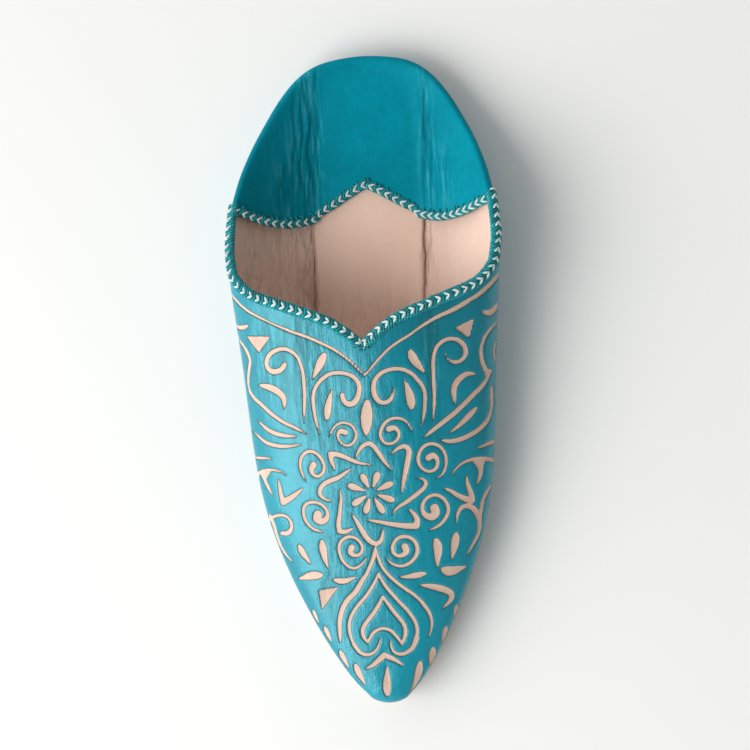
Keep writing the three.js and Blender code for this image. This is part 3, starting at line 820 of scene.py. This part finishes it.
def strokes(cuts, strip, tree):
    """Rows of the round knife marks that a list of cuts is made of: x, y, z and radius."""
    marks = []
    for kind, width, points in cuts:
        if kind == "patch":
            shares = [(i, j, 20 - i - j) for i in range(21) for j in range(21 - i)]
            spots = laid(np.array(shares) / 20 @ np.array(points, float), strip, tree)
            marks.append(np.column_stack([spots, np.full(len(spots), width / 2)]))
            continue
        shares = WIDTHS[kind]
        points = np.array(points, float)
        for end, beside in ((0, 1), (-1, -2)):
            if shares[end] < 0.2:
                step = points[end] - points[beside]
                points[end] += RUN_OUT * step / np.linalg.norm(step)
        flat, _ = curve(np.column_stack([points, 0 * points[:, 0]]), 25)
        path, along = curve(laid(flat[:, :2], strip, tree))
        radius = width / 2 * np.interp(along, np.linspace(0, 1, len(shares)), shares)
        path, radius = path[radius > THINNEST_CUT], radius[radius > THINNEST_CUT]
        marks.append(np.column_stack([path, radius]))
    return marks


def batches(spots, low, high):
    """Numbers of the spots inside a box, a few thousand at a time."""
    near = np.flatnonzero(np.all((spots > low) & (spots < high), axis=1))
    return np.array_split(near, max(1, len(near) // 4000))


def clearance(spots, marks, reach):
    """Distance of each spot from the nearest mark's rim, negative inside it, and never more than reach."""
    nearest = np.full(len(spots), float(reach))
    for mark in marks:
        low = mark[:, :3].min(0) - mark[:, 3].max() - reach
        high = mark[:, :3].max(0) + mark[:, 3].max() + reach
        for part in batches(spots, low, high):
            away = np.linalg.norm(spots[part, None] - mark[None, :, :3], axis=2) - mark[None, :, 3]
            nearest[part] = np.minimum(nearest[part], away.min(1))
    return nearest


SHINE_TINT = (0.5, 0.95, 1.0, 1)


def dyed_leather(name, matt, shine):
    made, surface, place = new_finish(name)
    fine = place.noise(1100.0, 3.0, 0.6)
    carve = place.attribute("carve") + (fine - 0.5) * 0.3
    age = place.attribute("age")
    worn = place.attribute("worn")
    grain = place.cells(1300.0)
    hide = place.noise(320.0, 4.0, 0.65)
    streak = place.stretched(1, 0.1, 0.3).noise(640.0, 5.0, 0.68)
    cloud = place.noise(26.0, 4.0)
    peeled = 1 - carve.between(-0.07, 0.07)
    rim = (1 - carve.between(0.0, 0.4)) * (1 - peeled)
    dye = cloud.between(0.3, 0.7).blend(colour(0, 132, 152), colour(0, 144, 166))
    dye = (hide.between(0.4, 0.7) * 0.25).blend(dye, colour(0, 110, 124))
    # Painted sheen: where the leather is wrinkled, light streaks stand in for the window's reflection.
    dye = (streak.between(0.51, 0.58) * worn * 0.85).blend(dye, colour(84, 188, 202))
    # Painted shade: dark streaks between the light ones.
    dye = (streak.between(0.49, 0.42) * worn * 0.8).blend(dye, colour(0, 88, 102))
    # Painted shade: darker in creases, on the vamp right of the ridge and on the back's left wing.
    dye = (age * 0.55).blend(dye, colour(0, 92, 106))
    dye = (rim * 0.65).blend(dye, colour(0, 66, 74))
    flesh = fine.blend(colour(214, 178, 158), colour(232, 200, 182))
    flesh = (cloud.between(0.4, 0.75) * 0.3).blend(flesh, colour(208, 164, 142))
    flesh = (carve.between(-0.4, -0.08) * 0.45).blend(flesh, colour(186, 142, 120))
    wear(surface, Base_Color=peeled.blend(dye, flesh))
    wear(surface, Roughness=(matt + 0.16 * hide) * (1 - peeled) + 0.75 * peeled)
    height = (grain * 0.12 + hide * 0.3 + streak * (worn * 2.4 + 0.2)) * (1 - peeled) + fine * 0.35 * peeled
    step = place.bump(carve.between(-0.22, 0.16), 0.0003)
    wear(surface, Normal=place.bump(height, 0.0004, step))
    surface.inputs["Specular IOR Level"].default_value = shine
    surface.inputs["Specular Tint"].default_value = SHINE_TINT
    return made


lining_leather = natural_lining("natural_lining", colour(248, 218, 202), colour(236, 200, 182), 0.45)
turquoise = dyed_leather("dyed_leather", 0.17, 0.95)
PUCKER = 2.4  # how far the lining draws in at its seam


def pulled_over(side, at, rows, inset, pucker=0.0):
    """A net of even rows from the seam to the leather's edge. The lining puckers inwards at the seam."""
    share = np.linspace(0, 1, 240)
    up = edge_of(at)[:, None] * share
    along = np.sin(np.pi * np.clip(at * 1.1, 0, 1))[:, None]
    inset = inset + pucker * np.maximum(0, 1 - up / 0.45) ** 2 * along
    cells = on_last(side, at[:, None], up, inset)
    length = np.linalg.norm(np.diff(cells, axis=1), axis=2).cumsum(1)
    length = np.concatenate([np.zeros((len(at), 1)), length], 1)
    net = np.empty((len(at), rows + 1, 3))
    for i, path in enumerate(cells):
        net[i] = read_off(path, length[i], np.linspace(0, length[i, -1], rows + 1))
    return net


upper_at = run(
    (0, 0.06, 20, "start"),
    (0.06, SIDE_JOIN, 36, "even"),
    (SIDE_JOIN, 0.33, 30, "even"),
    (0.33, THROAT, 56, "even"),
    (THROAT, 0.8, 128, "even"),
    (0.8, 0.93, 58, "even"),
    (0.93, 1, 40, "end"),
)
upper_nets = []
for side in (-1, 1):
    outside = pulled_over(side, upper_at, 84, 0.0)
    inside = pulled_over(side, upper_at, 34, WALL, PUCKER)
    upper_nets.append((outside, side < 0, 0))
    upper_nets.append((inside, side > 0, 1))
    upper_nets.append((np.stack([inside[:, 0], outside[:, 0]], 1), side < 0, 1))
    collar = upper_at <= THROAT
    upper_nets.append((np.stack([outside[collar, -1], inside[collar, -1]], 1), side < 0, 0))
upper = make_piece("upper_leather", upper_nets, [turquoise, lining_leather])


def normals_of(piece):
    normals = np.empty(len(piece.data.vertices) * 3)
    piece.data.vertex_normals.foreach_get("vector", normals)
    return normals.reshape(-1, 3)


def tree_of(piece, number=0):
    """The piece's skin for laying things on, from the faces of one material."""
    faces = [tuple(face.vertices) for face in piece.data.polygons if face.material_index == number]
    return BVHTree.FromPolygons([vertex.co for vertex in piece.data.vertices], faces)


def reshape(piece, spots):
    piece.data.vertices.foreach_set("co", (spots / 1000).ravel())
    piece.data.update()


# Creases: depth and width in millimetres, and the places that each passes. They are painted darker as shade.
# Where the leather is wrinkled into fine lines there's a soft patch: strength, half its width and half its
# length in millimetres. There the dyed skin has streaks painted lighter as sheen and darker as shade, and the
# lining is painted darker as shade between its folds. Those of the vamp are charted from the instep's strip,
# those of the lining and the back from the collar's.
COLLAR_STRIP = 180
VAMP_CREASES = [
    (0.35, 1.2, [(455, 40), (470, 180), (455, 330), (470, 520), (500, 700)]),
    (0.3, 0.9, [(500, 60), (512, 200), (505, 420), (520, 640)]),
    (0.28, 0.8, [(545, 80), (540, 240), (560, 420)]),
    (0.25, 1.1, [(410, 60), (400, 220), (420, 420), (440, 640), (470, 800)]),
    (0.3, 1.0, [(1140, 30), (1135, 200), (1128, 420), (1110, 640)]),
    (0.22, 0.8, [(1165, 50), (1160, 240), (1150, 420)]),
    (0.2, 0.9, [(1095, 60), (1090, 200), (1080, 380)]),
    (0.3, 1.6, [(640, 1330), (600, 1460), (625, 1560)]),
    (0.25, 1.2, [(655, 1400), (640, 1520), (660, 1640)]),
]
# Wrinkled patches of the vamp, where streaks are painted lighter as sheen and darker as shade.
VAMP_PAINTED_STREAKS = [
    (1.0, 8, 34, (535, 330)),
    (0.6, 10, 22, (330, 300)),
    (0.5, 7, 30, (620, 700)),
    (0.5, 3, 22, (1135, 260)),
    (0.45, 6, 26, (660, 1400)),
    (0.35, 20, 70, (760, 800)),
]
# Patches painted darker as shade, on the vamp's slope right of the ridge, turned away from the window.
VAMP_PAINTED_SHADE = [
    (0.8, 12, 20, (1080, 60)),
    (0.6, 3, 45, (1125, 330)),
]
LINING_CREASES = [
    (0.5, 0.9, [(490, 380), (500, 470), (480, 540), (545, 600), (560, 700)]),
    (0.4, 0.8, [(450, 330), (470, 430), (455, 560), (500, 700)]),
    (0.45, 0.8, [(530, 330), (545, 400), (560, 480), (566, 600)]),
    (0.35, 0.7, [(200, 400), (215, 470), (190, 540), (230, 600)]),
    (0.35, 0.7, [(250, 340), (240, 420), (262, 500)]),
    (0.3, 0.7, [(190, 450), (230, 480), (290, 500)]),
    (0.35, 0.8, [(1105, 250), (1112, 350), (1100, 450), (1110, 540)]),
    (0.3, 0.7, [(1130, 260), (1128, 330), (1140, 420)]),
]
# Crinkled patches of the lining, painted darker as shade between the folds.
LINING_SHADED_CRINKLES = [
    (1.0, 5, 30, (530, 480)),
    (0.8, 7, 16, (230, 460)),
    (0.6, 12, 30, (380, 440)),
    (0.6, 3, 26, (1115, 380)),
]


def soft_patches(spots, patches, strip, tree):
    """How strongly each spot lies in the soft patches."""
    worn = np.zeros(len(spots))
    for strength, wide, long, point in patches:
        away = spots - laid([point], strip, tree)[0]
        worn = np.maximum(worn, strength * np.exp(-((away[:, 0] / wide) ** 2) - (away[:, 1] / long) ** 2))
    return worn


def crease(spots, creases, strip, tree):
    """Depth of the creases at each spot."""
    depth = np.zeros(len(spots))
    for deep, wide, points in creases:
        flat, _ = curve([(a, b, 0) for a, b in points], 30)
        path, along = curve(laid(flat[:, :2], strip, tree), 0.8)
        fade = np.sin(np.pi * along) ** 0.5
        low, high = path.min(0) - 3 * wide, path.max(0) + 3 * wide
        for part in batches(spots, low, high):
            away = np.linalg.norm(spots[part, None] - path[None], axis=2)
            first = away.argmin(1)
            here = away[np.arange(len(part)), first]
            depth[part] += deep * fade[first] * np.exp(-((here / wide) ** 2))
    return depth


upper_spots = spots_of(upper)
upper_normals = normals_of(upper)
skin, inner = np.zeros(len(upper_spots), bool), np.zeros(len(upper_spots), bool)
for face in upper.data.polygons:
    (skin, inner)[face.material_index][list(face.vertices)] = True
outer_tree, inner_tree = tree_of(upper, 0), tree_of(upper, 1)
petals = []
for tip in PETAL_TIPS:
    petals.append(("petal", PETAL_WIDTH, [FLOWER + share * (tip - FLOWER) for share in (0.87, 0.28)]))
marks = strokes(BORDER + INSTEP_CUTS + petals, INSTEP_STRIP, outer_tree)
marks += strokes(TOE_CUTS, TOE_STRIP, outer_tree)
carve = np.full(len(upper_spots), CUT_REACH)
carve[skin] = clearance(upper_spots[skin], marks, CUT_REACH)
crease_depth, worn, painted_shade_patches = np.zeros((3, len(upper_spots)))
crease_depth[skin] = crease(upper_spots[skin], VAMP_CREASES, INSTEP_STRIP, outer_tree)
painted_shade_patches[skin] = soft_patches(upper_spots[skin], VAMP_PAINTED_SHADE, INSTEP_STRIP, outer_tree)
worn[skin] = soft_patches(upper_spots[skin], VAMP_PAINTED_STREAKS, INSTEP_STRIP, outer_tree)
lined = inner & ~skin
crease_depth[lined] = crease(upper_spots[lined], LINING_CREASES, COLLAR_STRIP, inner_tree)
worn[lined] = soft_patches(upper_spots[lined], LINING_SHADED_CRINKLES, COLLAR_STRIP, inner_tree)
sunk = CUT_DEPTH * np.clip(0.5 - carve / 0.5, 0, 1) + crease_depth
reshape(upper, upper_spots - upper_normals * sunk[:, None])
note(upper, "carve", carve)
# The dyed skin is painted darker as shade in its creases and in patches right of the ridge, the lining in its
# creases.
note(upper, "age", np.where(skin, np.clip(crease_depth / 0.35 + painted_shade_patches, 0, 1), np.clip(crease_depth / 0.6, 0, 0.25)))
note(upper, "worn", worn)
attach(upper, "root")
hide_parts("upper")

# Turned-down back: the back of the upper rolled over at the heel and trodden flat on the insole, dyed side
# up. It is one piece of the same leather, cut to a scalloped edge, and creased where it turns up the sides.
FOLD_THICKNESS = 1.8
RIM_TURN = (0.83, 0.36)
SAG = 0.05
HEEL_SLOPE = 26
HEEL_LIFT = 2.6
SCALLOP_HALF_WIDTH = 51
SCALLOP = [
    # share of the half width, reach from the heel rim as a share of the length
    (0, 0.191),
    (0.12, 0.203),
    (0.33, 0.227),
    (0.5, 0.241),
    (0.64, 0.246),
    (0.78, 0.243),
    (0.92, 0.234),
    (1.12, 0.226),
]
FOLD_CREASES = [
    (0.7, 0.8, [(520, -540), (512, -420), (530, -300), (518, -150), (545, 0), (550, 150)]),
    (0.6, 0.6, [(558, -560), (550, -420), (564, -280), (554, -140), (574, 0), (578, 110)]),
    (0.45, 0.6, [(400, -90), (392, 20), (404, 110), (398, 180)]),
    (0.4, 0.5, [(378, -40), (371, 50), (382, 150)]),
    (0.6, 0.7, [(490, -560), (480, -400), (490, -250), (478, -100), (500, 60), (505, 170)]),
    (0.5, 0.7, [(455, -500), (442, -380), (452, -200), (440, -60), (458, 100)]),
    (0.3, 0.6, [(470, -80), (476, 20), (466, 120), (480, 190)]),
    (0.25, 0.6, [(425, -60), (420, 40), (430, 140)]),
    (0.25, 0.6, [(530, -60), (526, 40), (535, 130)]),
    (0.75, 0.7, [(1105, -520), (1095, -350), (1102, -180), (1095, 0), (1106, 150)]),
    (0.5, 0.6, [(1130, -380), (1124, -240), (1136, -100), (1130, 40)]),
    (0.2, 0.6, [(1150, -120), (1146, 0), (1156, 110)]),
]
# Wrinkled patches of the turned-down back, where streaks are painted lighter as sheen and darker as shade.
FOLD_PAINTED_STREAKS = [
    (0.45, 9, 26, (470, 20)),
    (0.45, 5, 36, (520, -300)),
    (0.4, 3, 38, (1115, -160)),
    (0.35, 5, 14, (1180, 0)),
]
scallop_reach = through(SCALLOP, 1)


def fold_net(inset, lift, rim_height):
    """One skin of the turned-down back, from the heel to its front edge and from the left rim to the right."""
    share = np.linspace(0, 1, 101)
    share = np.where(share < 0.3, share**2 / 0.6, share - 0.15) / 0.85
    centre = LAST_PLACE[:2]
    floor_of = lambda y: insole_top(y) + GAP + lift

    def over_rim(side, at, turn):
        plan = inset_line(wide_line, side, at, inset / 2 * (1 + math.cos(turn)))
        return np.concatenate([plan + centre, (wide_height(at) + rim_height(turn))[..., None]], -1)

    def down_side(side, at, down):
        top = over_rim(side, at, RIM_TURN[1] * math.pi)
        foot = on_last(side, at, 0, inset, floor_of)
        spot = top + (foot - top) * down
        spot[:, 2] -= SAG * np.linalg.norm(foot - top, axis=1) * math.sin(math.pi * down)
        return spot

    def to_edge(side, column, amount):
        end = np.full(1, 0.23)
        for _ in range(12):
            x = column(side, end, amount)[0, 0] - centre[0] - middle(-end * LENGTH)[0]
            end = scallop_reach(np.array([abs(x) / SCALLOP_HALF_WIDTH]))
        return column(side, share * end[0], amount)

    halves = []
    for side in (-1, 1):
        half = [to_edge(side, over_rim, turn) for turn in np.linspace(*RIM_TURN, 7) * math.pi]
        half += [to_edge(side, down_side, down) for down in np.linspace(0, 1, 38)[1:]]
        halves.append(half)
    left, right = halves[0], halves[1][::-1]
    floor = []
    for s in np.linspace(0, 1, 47)[1:-1]:
        foot = left[-1] + (right[0] - left[-1]) * s
        x = foot[-1, 0] - centre[0] - middle(foot[-1, 1] - centre[1])
        end = centre[1] - scallop_reach(np.array([abs(x) / SCALLOP_HALF_WIDTH]))[0] * LENGTH
        foot[:, 1] = foot[0, 1] + (end - foot[0, 1]) * (foot[0, 1] - foot[:, 1]) / (foot[0, 1] - foot[-1, 1])
        floor.append(foot)
    net = np.stack(left + floor + right, 1)
    inward = np.maximum(0, 1 - (LENGTH / 2 - net[..., 1]) / HEEL_SLOPE)
    slope = floor_of(0) + HEEL_LIFT * inward**2
    above = net[..., 2] - slope
    net[..., 2] = slope + (above + np.sqrt(above**2 + inward**2)) / 2
    for _ in range(5):
        net[:, 6:-6, 2] += (net[:, 5:-7, 2] + net[:, 7:-5, 2] - 2 * net[:, 6:-6, 2]) / 4
    return net


top_inset = WALL + GAP + FOLD_THICKNESS
top_net = fold_net(top_inset, FOLD_THICKNESS, lambda turn: (GAP + FOLD_THICKNESS) * math.sin(turn))
under_net = fold_net(WALL + GAP, 0.0, lambda turn: GAP)
back_nets = [
    (top_net, True, 0),
    (under_net, False, 1),
    (np.stack([under_net[:, 0], top_net[:, 0]], 1), True, 0),
    (np.stack([under_net[:, -1], top_net[:, -1]], 1), False, 0),
    (np.stack([under_net[-1], top_net[-1]], 0), False, 0),
]
matt_turquoise = dyed_leather("turned_down_leather", 0.5, 0.08)
back = make_piece("turned_down_leather", back_nets, [matt_turquoise, lining_leather])
back_spots = spots_of(back)
back_tree = tree_of(back)
back_crease_depth = crease(back_spots, FOLD_CREASES, COLLAR_STRIP, back_tree)
reshape(back, back_spots - normals_of(back) * back_crease_depth[:, None])
note(back, "carve", np.full(len(back_spots), CUT_REACH))
# The back's left wing, turned away from the window, is painted darker as shade, and so are its creases.
left_wing_shade = np.clip((BOW_AT_COLLAR - 22 - back_spots[:, 0]) / 14, 0, 1)
note(back, "age", np.clip(back_crease_depth / 0.5 + 0.6 * left_wing_shade, 0, 1))
note(back, "worn", soft_patches(back_spots, FOLD_PAINTED_STREAKS, COLLAR_STRIP, back_tree))
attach(back, "root")
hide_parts("turned_down_back")

# Braids: a core cord under teal thread, laid loop by loop with each loop pulled forward in the middle, so
# that the top shows arrowheads. A white thread makes every third one, and teal whip stitches hold the cord.
BRAID_RADIUS = 1.9
BRAID_HALF_HEIGHT = 1.35
BRAID_BITE = 0.5  # how far the cord is pressed towards the leather's edge
LOOP_PITCH = 1.2
LOOP_THREAD = 0.5
ARROW = 1.5
WHITE_EVERY = 3
WHITE_THREAD = 0.46
WHITE_WIDTH = 1.5
WHITE_ARROW = 3.1
STITCH_THREAD = 0.25


def thread_finish(name, deep, pale):
    made, surface, place = new_finish(name)
    ply = place.noise(1900.0, 3.0, 0.6)
    drift = place.noise(420.0, 2.0)
    shade = ply.between(0.35, 0.65).blend(deep, pale)
    shade = (drift.between(0.42, 0.62) * 0.7).blend(shade, deep)
    wear(surface, Base_Color=shade, Roughness=0.5 + 0.25 * ply)
    wear(surface, Normal=place.bump(ply, 0.0002))
    return made


teal_thread = thread_finish("teal_thread", colour(0, 112, 122), colour(16, 186, 194))
white_thread = thread_finish("white_thread", colour(196, 214, 210), colour(246, 250, 246))
chance = np.random.default_rng(7)


def unit(rows):
    return rows / np.linalg.norm(rows, axis=1, keepdims=True)


def evened(path, *others, step=0.5, soften=5):
    """A path in even steps with the directions that go with it, and its corners rounded a little."""
    length = length_of(path)
    at = np.linspace(0, length[-1], int(length[-1] / step) + 1)
    kernel = np.hanning(2 * soften + 3)[1:-1]
    kernel /= kernel.sum()
    made = []
    for rows in (path, *others):
        rows = read_off(rows, length, at)
        ends = np.concatenate([rows[:1]] * soften + [rows] + [rows[-1:]] * soften)
        smooth = np.stack([np.convolve(ends[:, k], kernel, "valid") for k in range(3)], -1)
        if rows is not path and made:
            smooth = unit(smooth)
        made.append(smooth)
    made[0][0], made[0][-1] = path[0], path[-1]
    return made


def braid_nets(centre, facing, half_width, half_height):
    """All thread of one braid that runs along centre with its arrowheads on the side that it faces."""
    centre, facing = evened(centre, facing)
    along = unit(np.gradient(centre, axis=0))
    up = unit(facing - along * (facing * along).sum(1, keepdims=True))
    across = np.cross(along, up)
    length = length_of(centre)

    def crossing(start, lead, wide, high, angle):
        s = np.clip(start + lead * (1 - np.abs(angle / (np.pi / 2) - 1)) - lead / 2, 0, length[-1])
        spot, out, top = (read_off(part, length, s) for part in (centre, across, up))
        return spot + out * (wide * np.cos(angle))[:, None] + top * (high * np.sin(angle))[:, None]

    nets = [(tube(centre, min(half_width, half_height) - 0.3, 10), True, 0)]
    count = int(length[-1] / LOOP_PITCH)
    for i in range(count):
        start = (i + 0.5) * length[-1] / count
        lead = ARROW * chance.uniform(0.9, 1.1)
        angle = np.linspace(-0.2 * np.pi, 1.2 * np.pi, 17)
        ring = crossing(start, lead, half_width * chance.uniform(0.95, 1.05), half_height, angle)
        nets.append((tube(ring, LOOP_THREAD * chance.uniform(0.9, 1.1)), True, 0))
        if i % WHITE_EVERY == 1:
            angle = np.linspace(0.12 * np.pi, 0.88 * np.pi, 11)
            high = half_height + 0.5
            ring = crossing(start + 0.3, WHITE_ARROW * chance.uniform(0.9, 1.1), WHITE_WIDTH, high, angle)
            shape = np.array([0.3, 0.75, 0.95, 1, 1, 1.05, 1, 1, 0.95, 0.75, 0.3])
            nets.append((tube(ring, WHITE_THREAD * shape), True, 1))
    return nets


def whip_stitches(rim, down, off, pitch, reaches):
    """Short uneven stitches from under a braid over the leather's edge."""
    rim, down, off = evened(rim, down, off, soften=2)
    length = 0.5 * (len(rim) - 1)
    nets = []
    for i in range(int(length / pitch)):
        k = min(len(rim) - 1, int((i + chance.uniform(0.1, 0.9)) * pitch / 0.5))
        step = rim[min(k + 1, len(rim) - 1)] - rim[max(k - 1, 0)]
        lean = step / np.linalg.norm(step) * chance.uniform(0.2, 1.0)
        reach = chance.uniform(*reaches)
        path = [
            rim[k] + off[k] - down[k] * 0.8,
            rim[k] + off[k] * 0.75 + down[k] * 0.4 * reach + lean * 0.4,
            rim[k] + off[k] * 0.3 + down[k] * 0.8 * reach + lean * 0.8,
            rim[k] - off[k] * 0.3 + down[k] * reach + lean,
        ]
        smooth, _ = curve(path, 0.3)
        nets.append((tube(smooth, STITCH_THREAD * chance.uniform(0.8, 1.2)), True, 0))
    return nets


collar_at = run((SIDE_JOIN - 0.006, 0.33, 44, "even"), (0.33, THROAT, 160, "even"))
centres, facings, collar_nets = [], [], []
for side in (-1, 1):
    top = edge_of(collar_at)
    point = on_last(side, collar_at, top, WALL / 2)
    outer = on_last(side, collar_at, top, 0)
    beyond = unit(point - on_last(side, collar_at, top - 0.05, WALL / 2))
    off = unit(outer - point)
    beyond = unit(beyond - off * (beyond * off).sum(1, keepdims=True))
    centre = point + beyond * (BRAID_RADIUS + GAP - BRAID_BITE)
    facing = off * 0.7 + beyond * 0.75
    collar_nets += whip_stitches(outer, -beyond, off, 1.4, (0.9, 2.4))
    middle_line = middle(centre[:, 1] - LENGTH / 2) + BOW_AT_COLLAR
    kept = side * (centre[:, 0] - middle_line) > 0.1
    centres.append(centre[kept][::-side])
    facings.append(facing[kept][::-side])
collar_nets += braid_nets(np.concatenate(centres), np.concatenate(facings), BRAID_RADIUS, BRAID_HALF_HEIGHT)
collar_braid = make_piece("collar_braid_thread", collar_nets, [teal_thread, white_thread])
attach(collar_braid, "root")
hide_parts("collar_braid")

FOLD_BRAID_RADIUS = 1.5
FOLD_BRAID_HALF_HEIGHT = 1.1
FOLD_BRAID_BITE = 0.3
front, under = top_net[-1, 3:-3], under_net[-1, 3:-3]
off = unit(front - under)
beyond = unit(top_net[-1, 3:-3] - top_net[-3, 3:-3])
centre = (front + under) / 2 + off * 0.3 + beyond * (FOLD_BRAID_RADIUS + GAP - FOLD_BRAID_BITE)
edge_nets = whip_stitches(front[::-1], -beyond[::-1], off[::-1], 3.0, (0.7, 1.3))
edge_facing = (off + beyond * 0.25)[::-1]
edge_nets += braid_nets(centre[::-1], edge_facing, FOLD_BRAID_RADIUS, FOLD_BRAID_HALF_HEIGHT)
back_braid = make_piece("back_edge_braid_thread", edge_nets, [teal_thread, white_thread])
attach(back_braid, "root")
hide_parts("back_edge_braid")

# Floor and light: a sheet of pale matt paper laid flat under the sole, and a wide soft window on the
# little-toe side. The room gives the rest, brighter low down and on the window's side.
floor_mesh = bpy.data.meshes.new("floor")
floor_mesh.from_pydata([(-3, -3, 0), (3, -3, 0), (3, 3, 0), (-3, 3, 0)], [], [(0, 1, 2, 3)])
floor = bpy.data.objects.new("floor", floor_mesh)
bpy.context.scene.collection.objects.link(floor)
paper, paper_surface, paper_place = new_finish("paper")
paper_tone = paper_place.noise(3.0).blend(colour(244, 245, 244), colour(248, 248, 247))
wear(paper_surface, Base_Color=paper_tone, Roughness=0.9)
floor_mesh.materials.append(paper)


def soft_light(name, place, target, size, power, tint):
    lamp = bpy.data.lights.new(name, "AREA")
    lamp.shape = "RECTANGLE"
    lamp.size, lamp.size_y = size
    lamp.energy = power
    lamp.color = tint
    made = bpy.data.objects.new(name, lamp)
    made.location = place
    made.rotation_euler = (Vector(target) - Vector(place)).to_track_quat("-Z", "Y").to_euler()
    bpy.context.scene.collection.objects.link(made)


soft_light("window", (-0.95, -0.5, 1.0), (0, 0, 0), (1.3, 1.15), 18.4, (1.0, 0.99, 0.98))
world = bpy.data.worlds.new("room")
world.use_nodes = True
sky = world.node_tree.nodes["Background"]
toward = Wire(sky.outputs[0]).node("ShaderNodeTexCoord", {}, {}, 0)
rise = toward.node("ShaderNodeSeparateXYZ", {}, {0: toward}, 2)
across_room = toward.node("ShaderNodeSeparateXYZ", {}, {0: toward}, 0)
glow = (0.28 + 0.72 * (1 - rise.between(0.4, 0.92))) * (0.88 - 0.66 * across_room)
sky.inputs[0].default_value = (0.99, 1.0, 0.985, 1)
world.node_tree.links.new(glow.socket, sky.inputs[1])
bpy.context.scene.world = world
bpy.context.scene.view_settings.view_transform = "Standard"
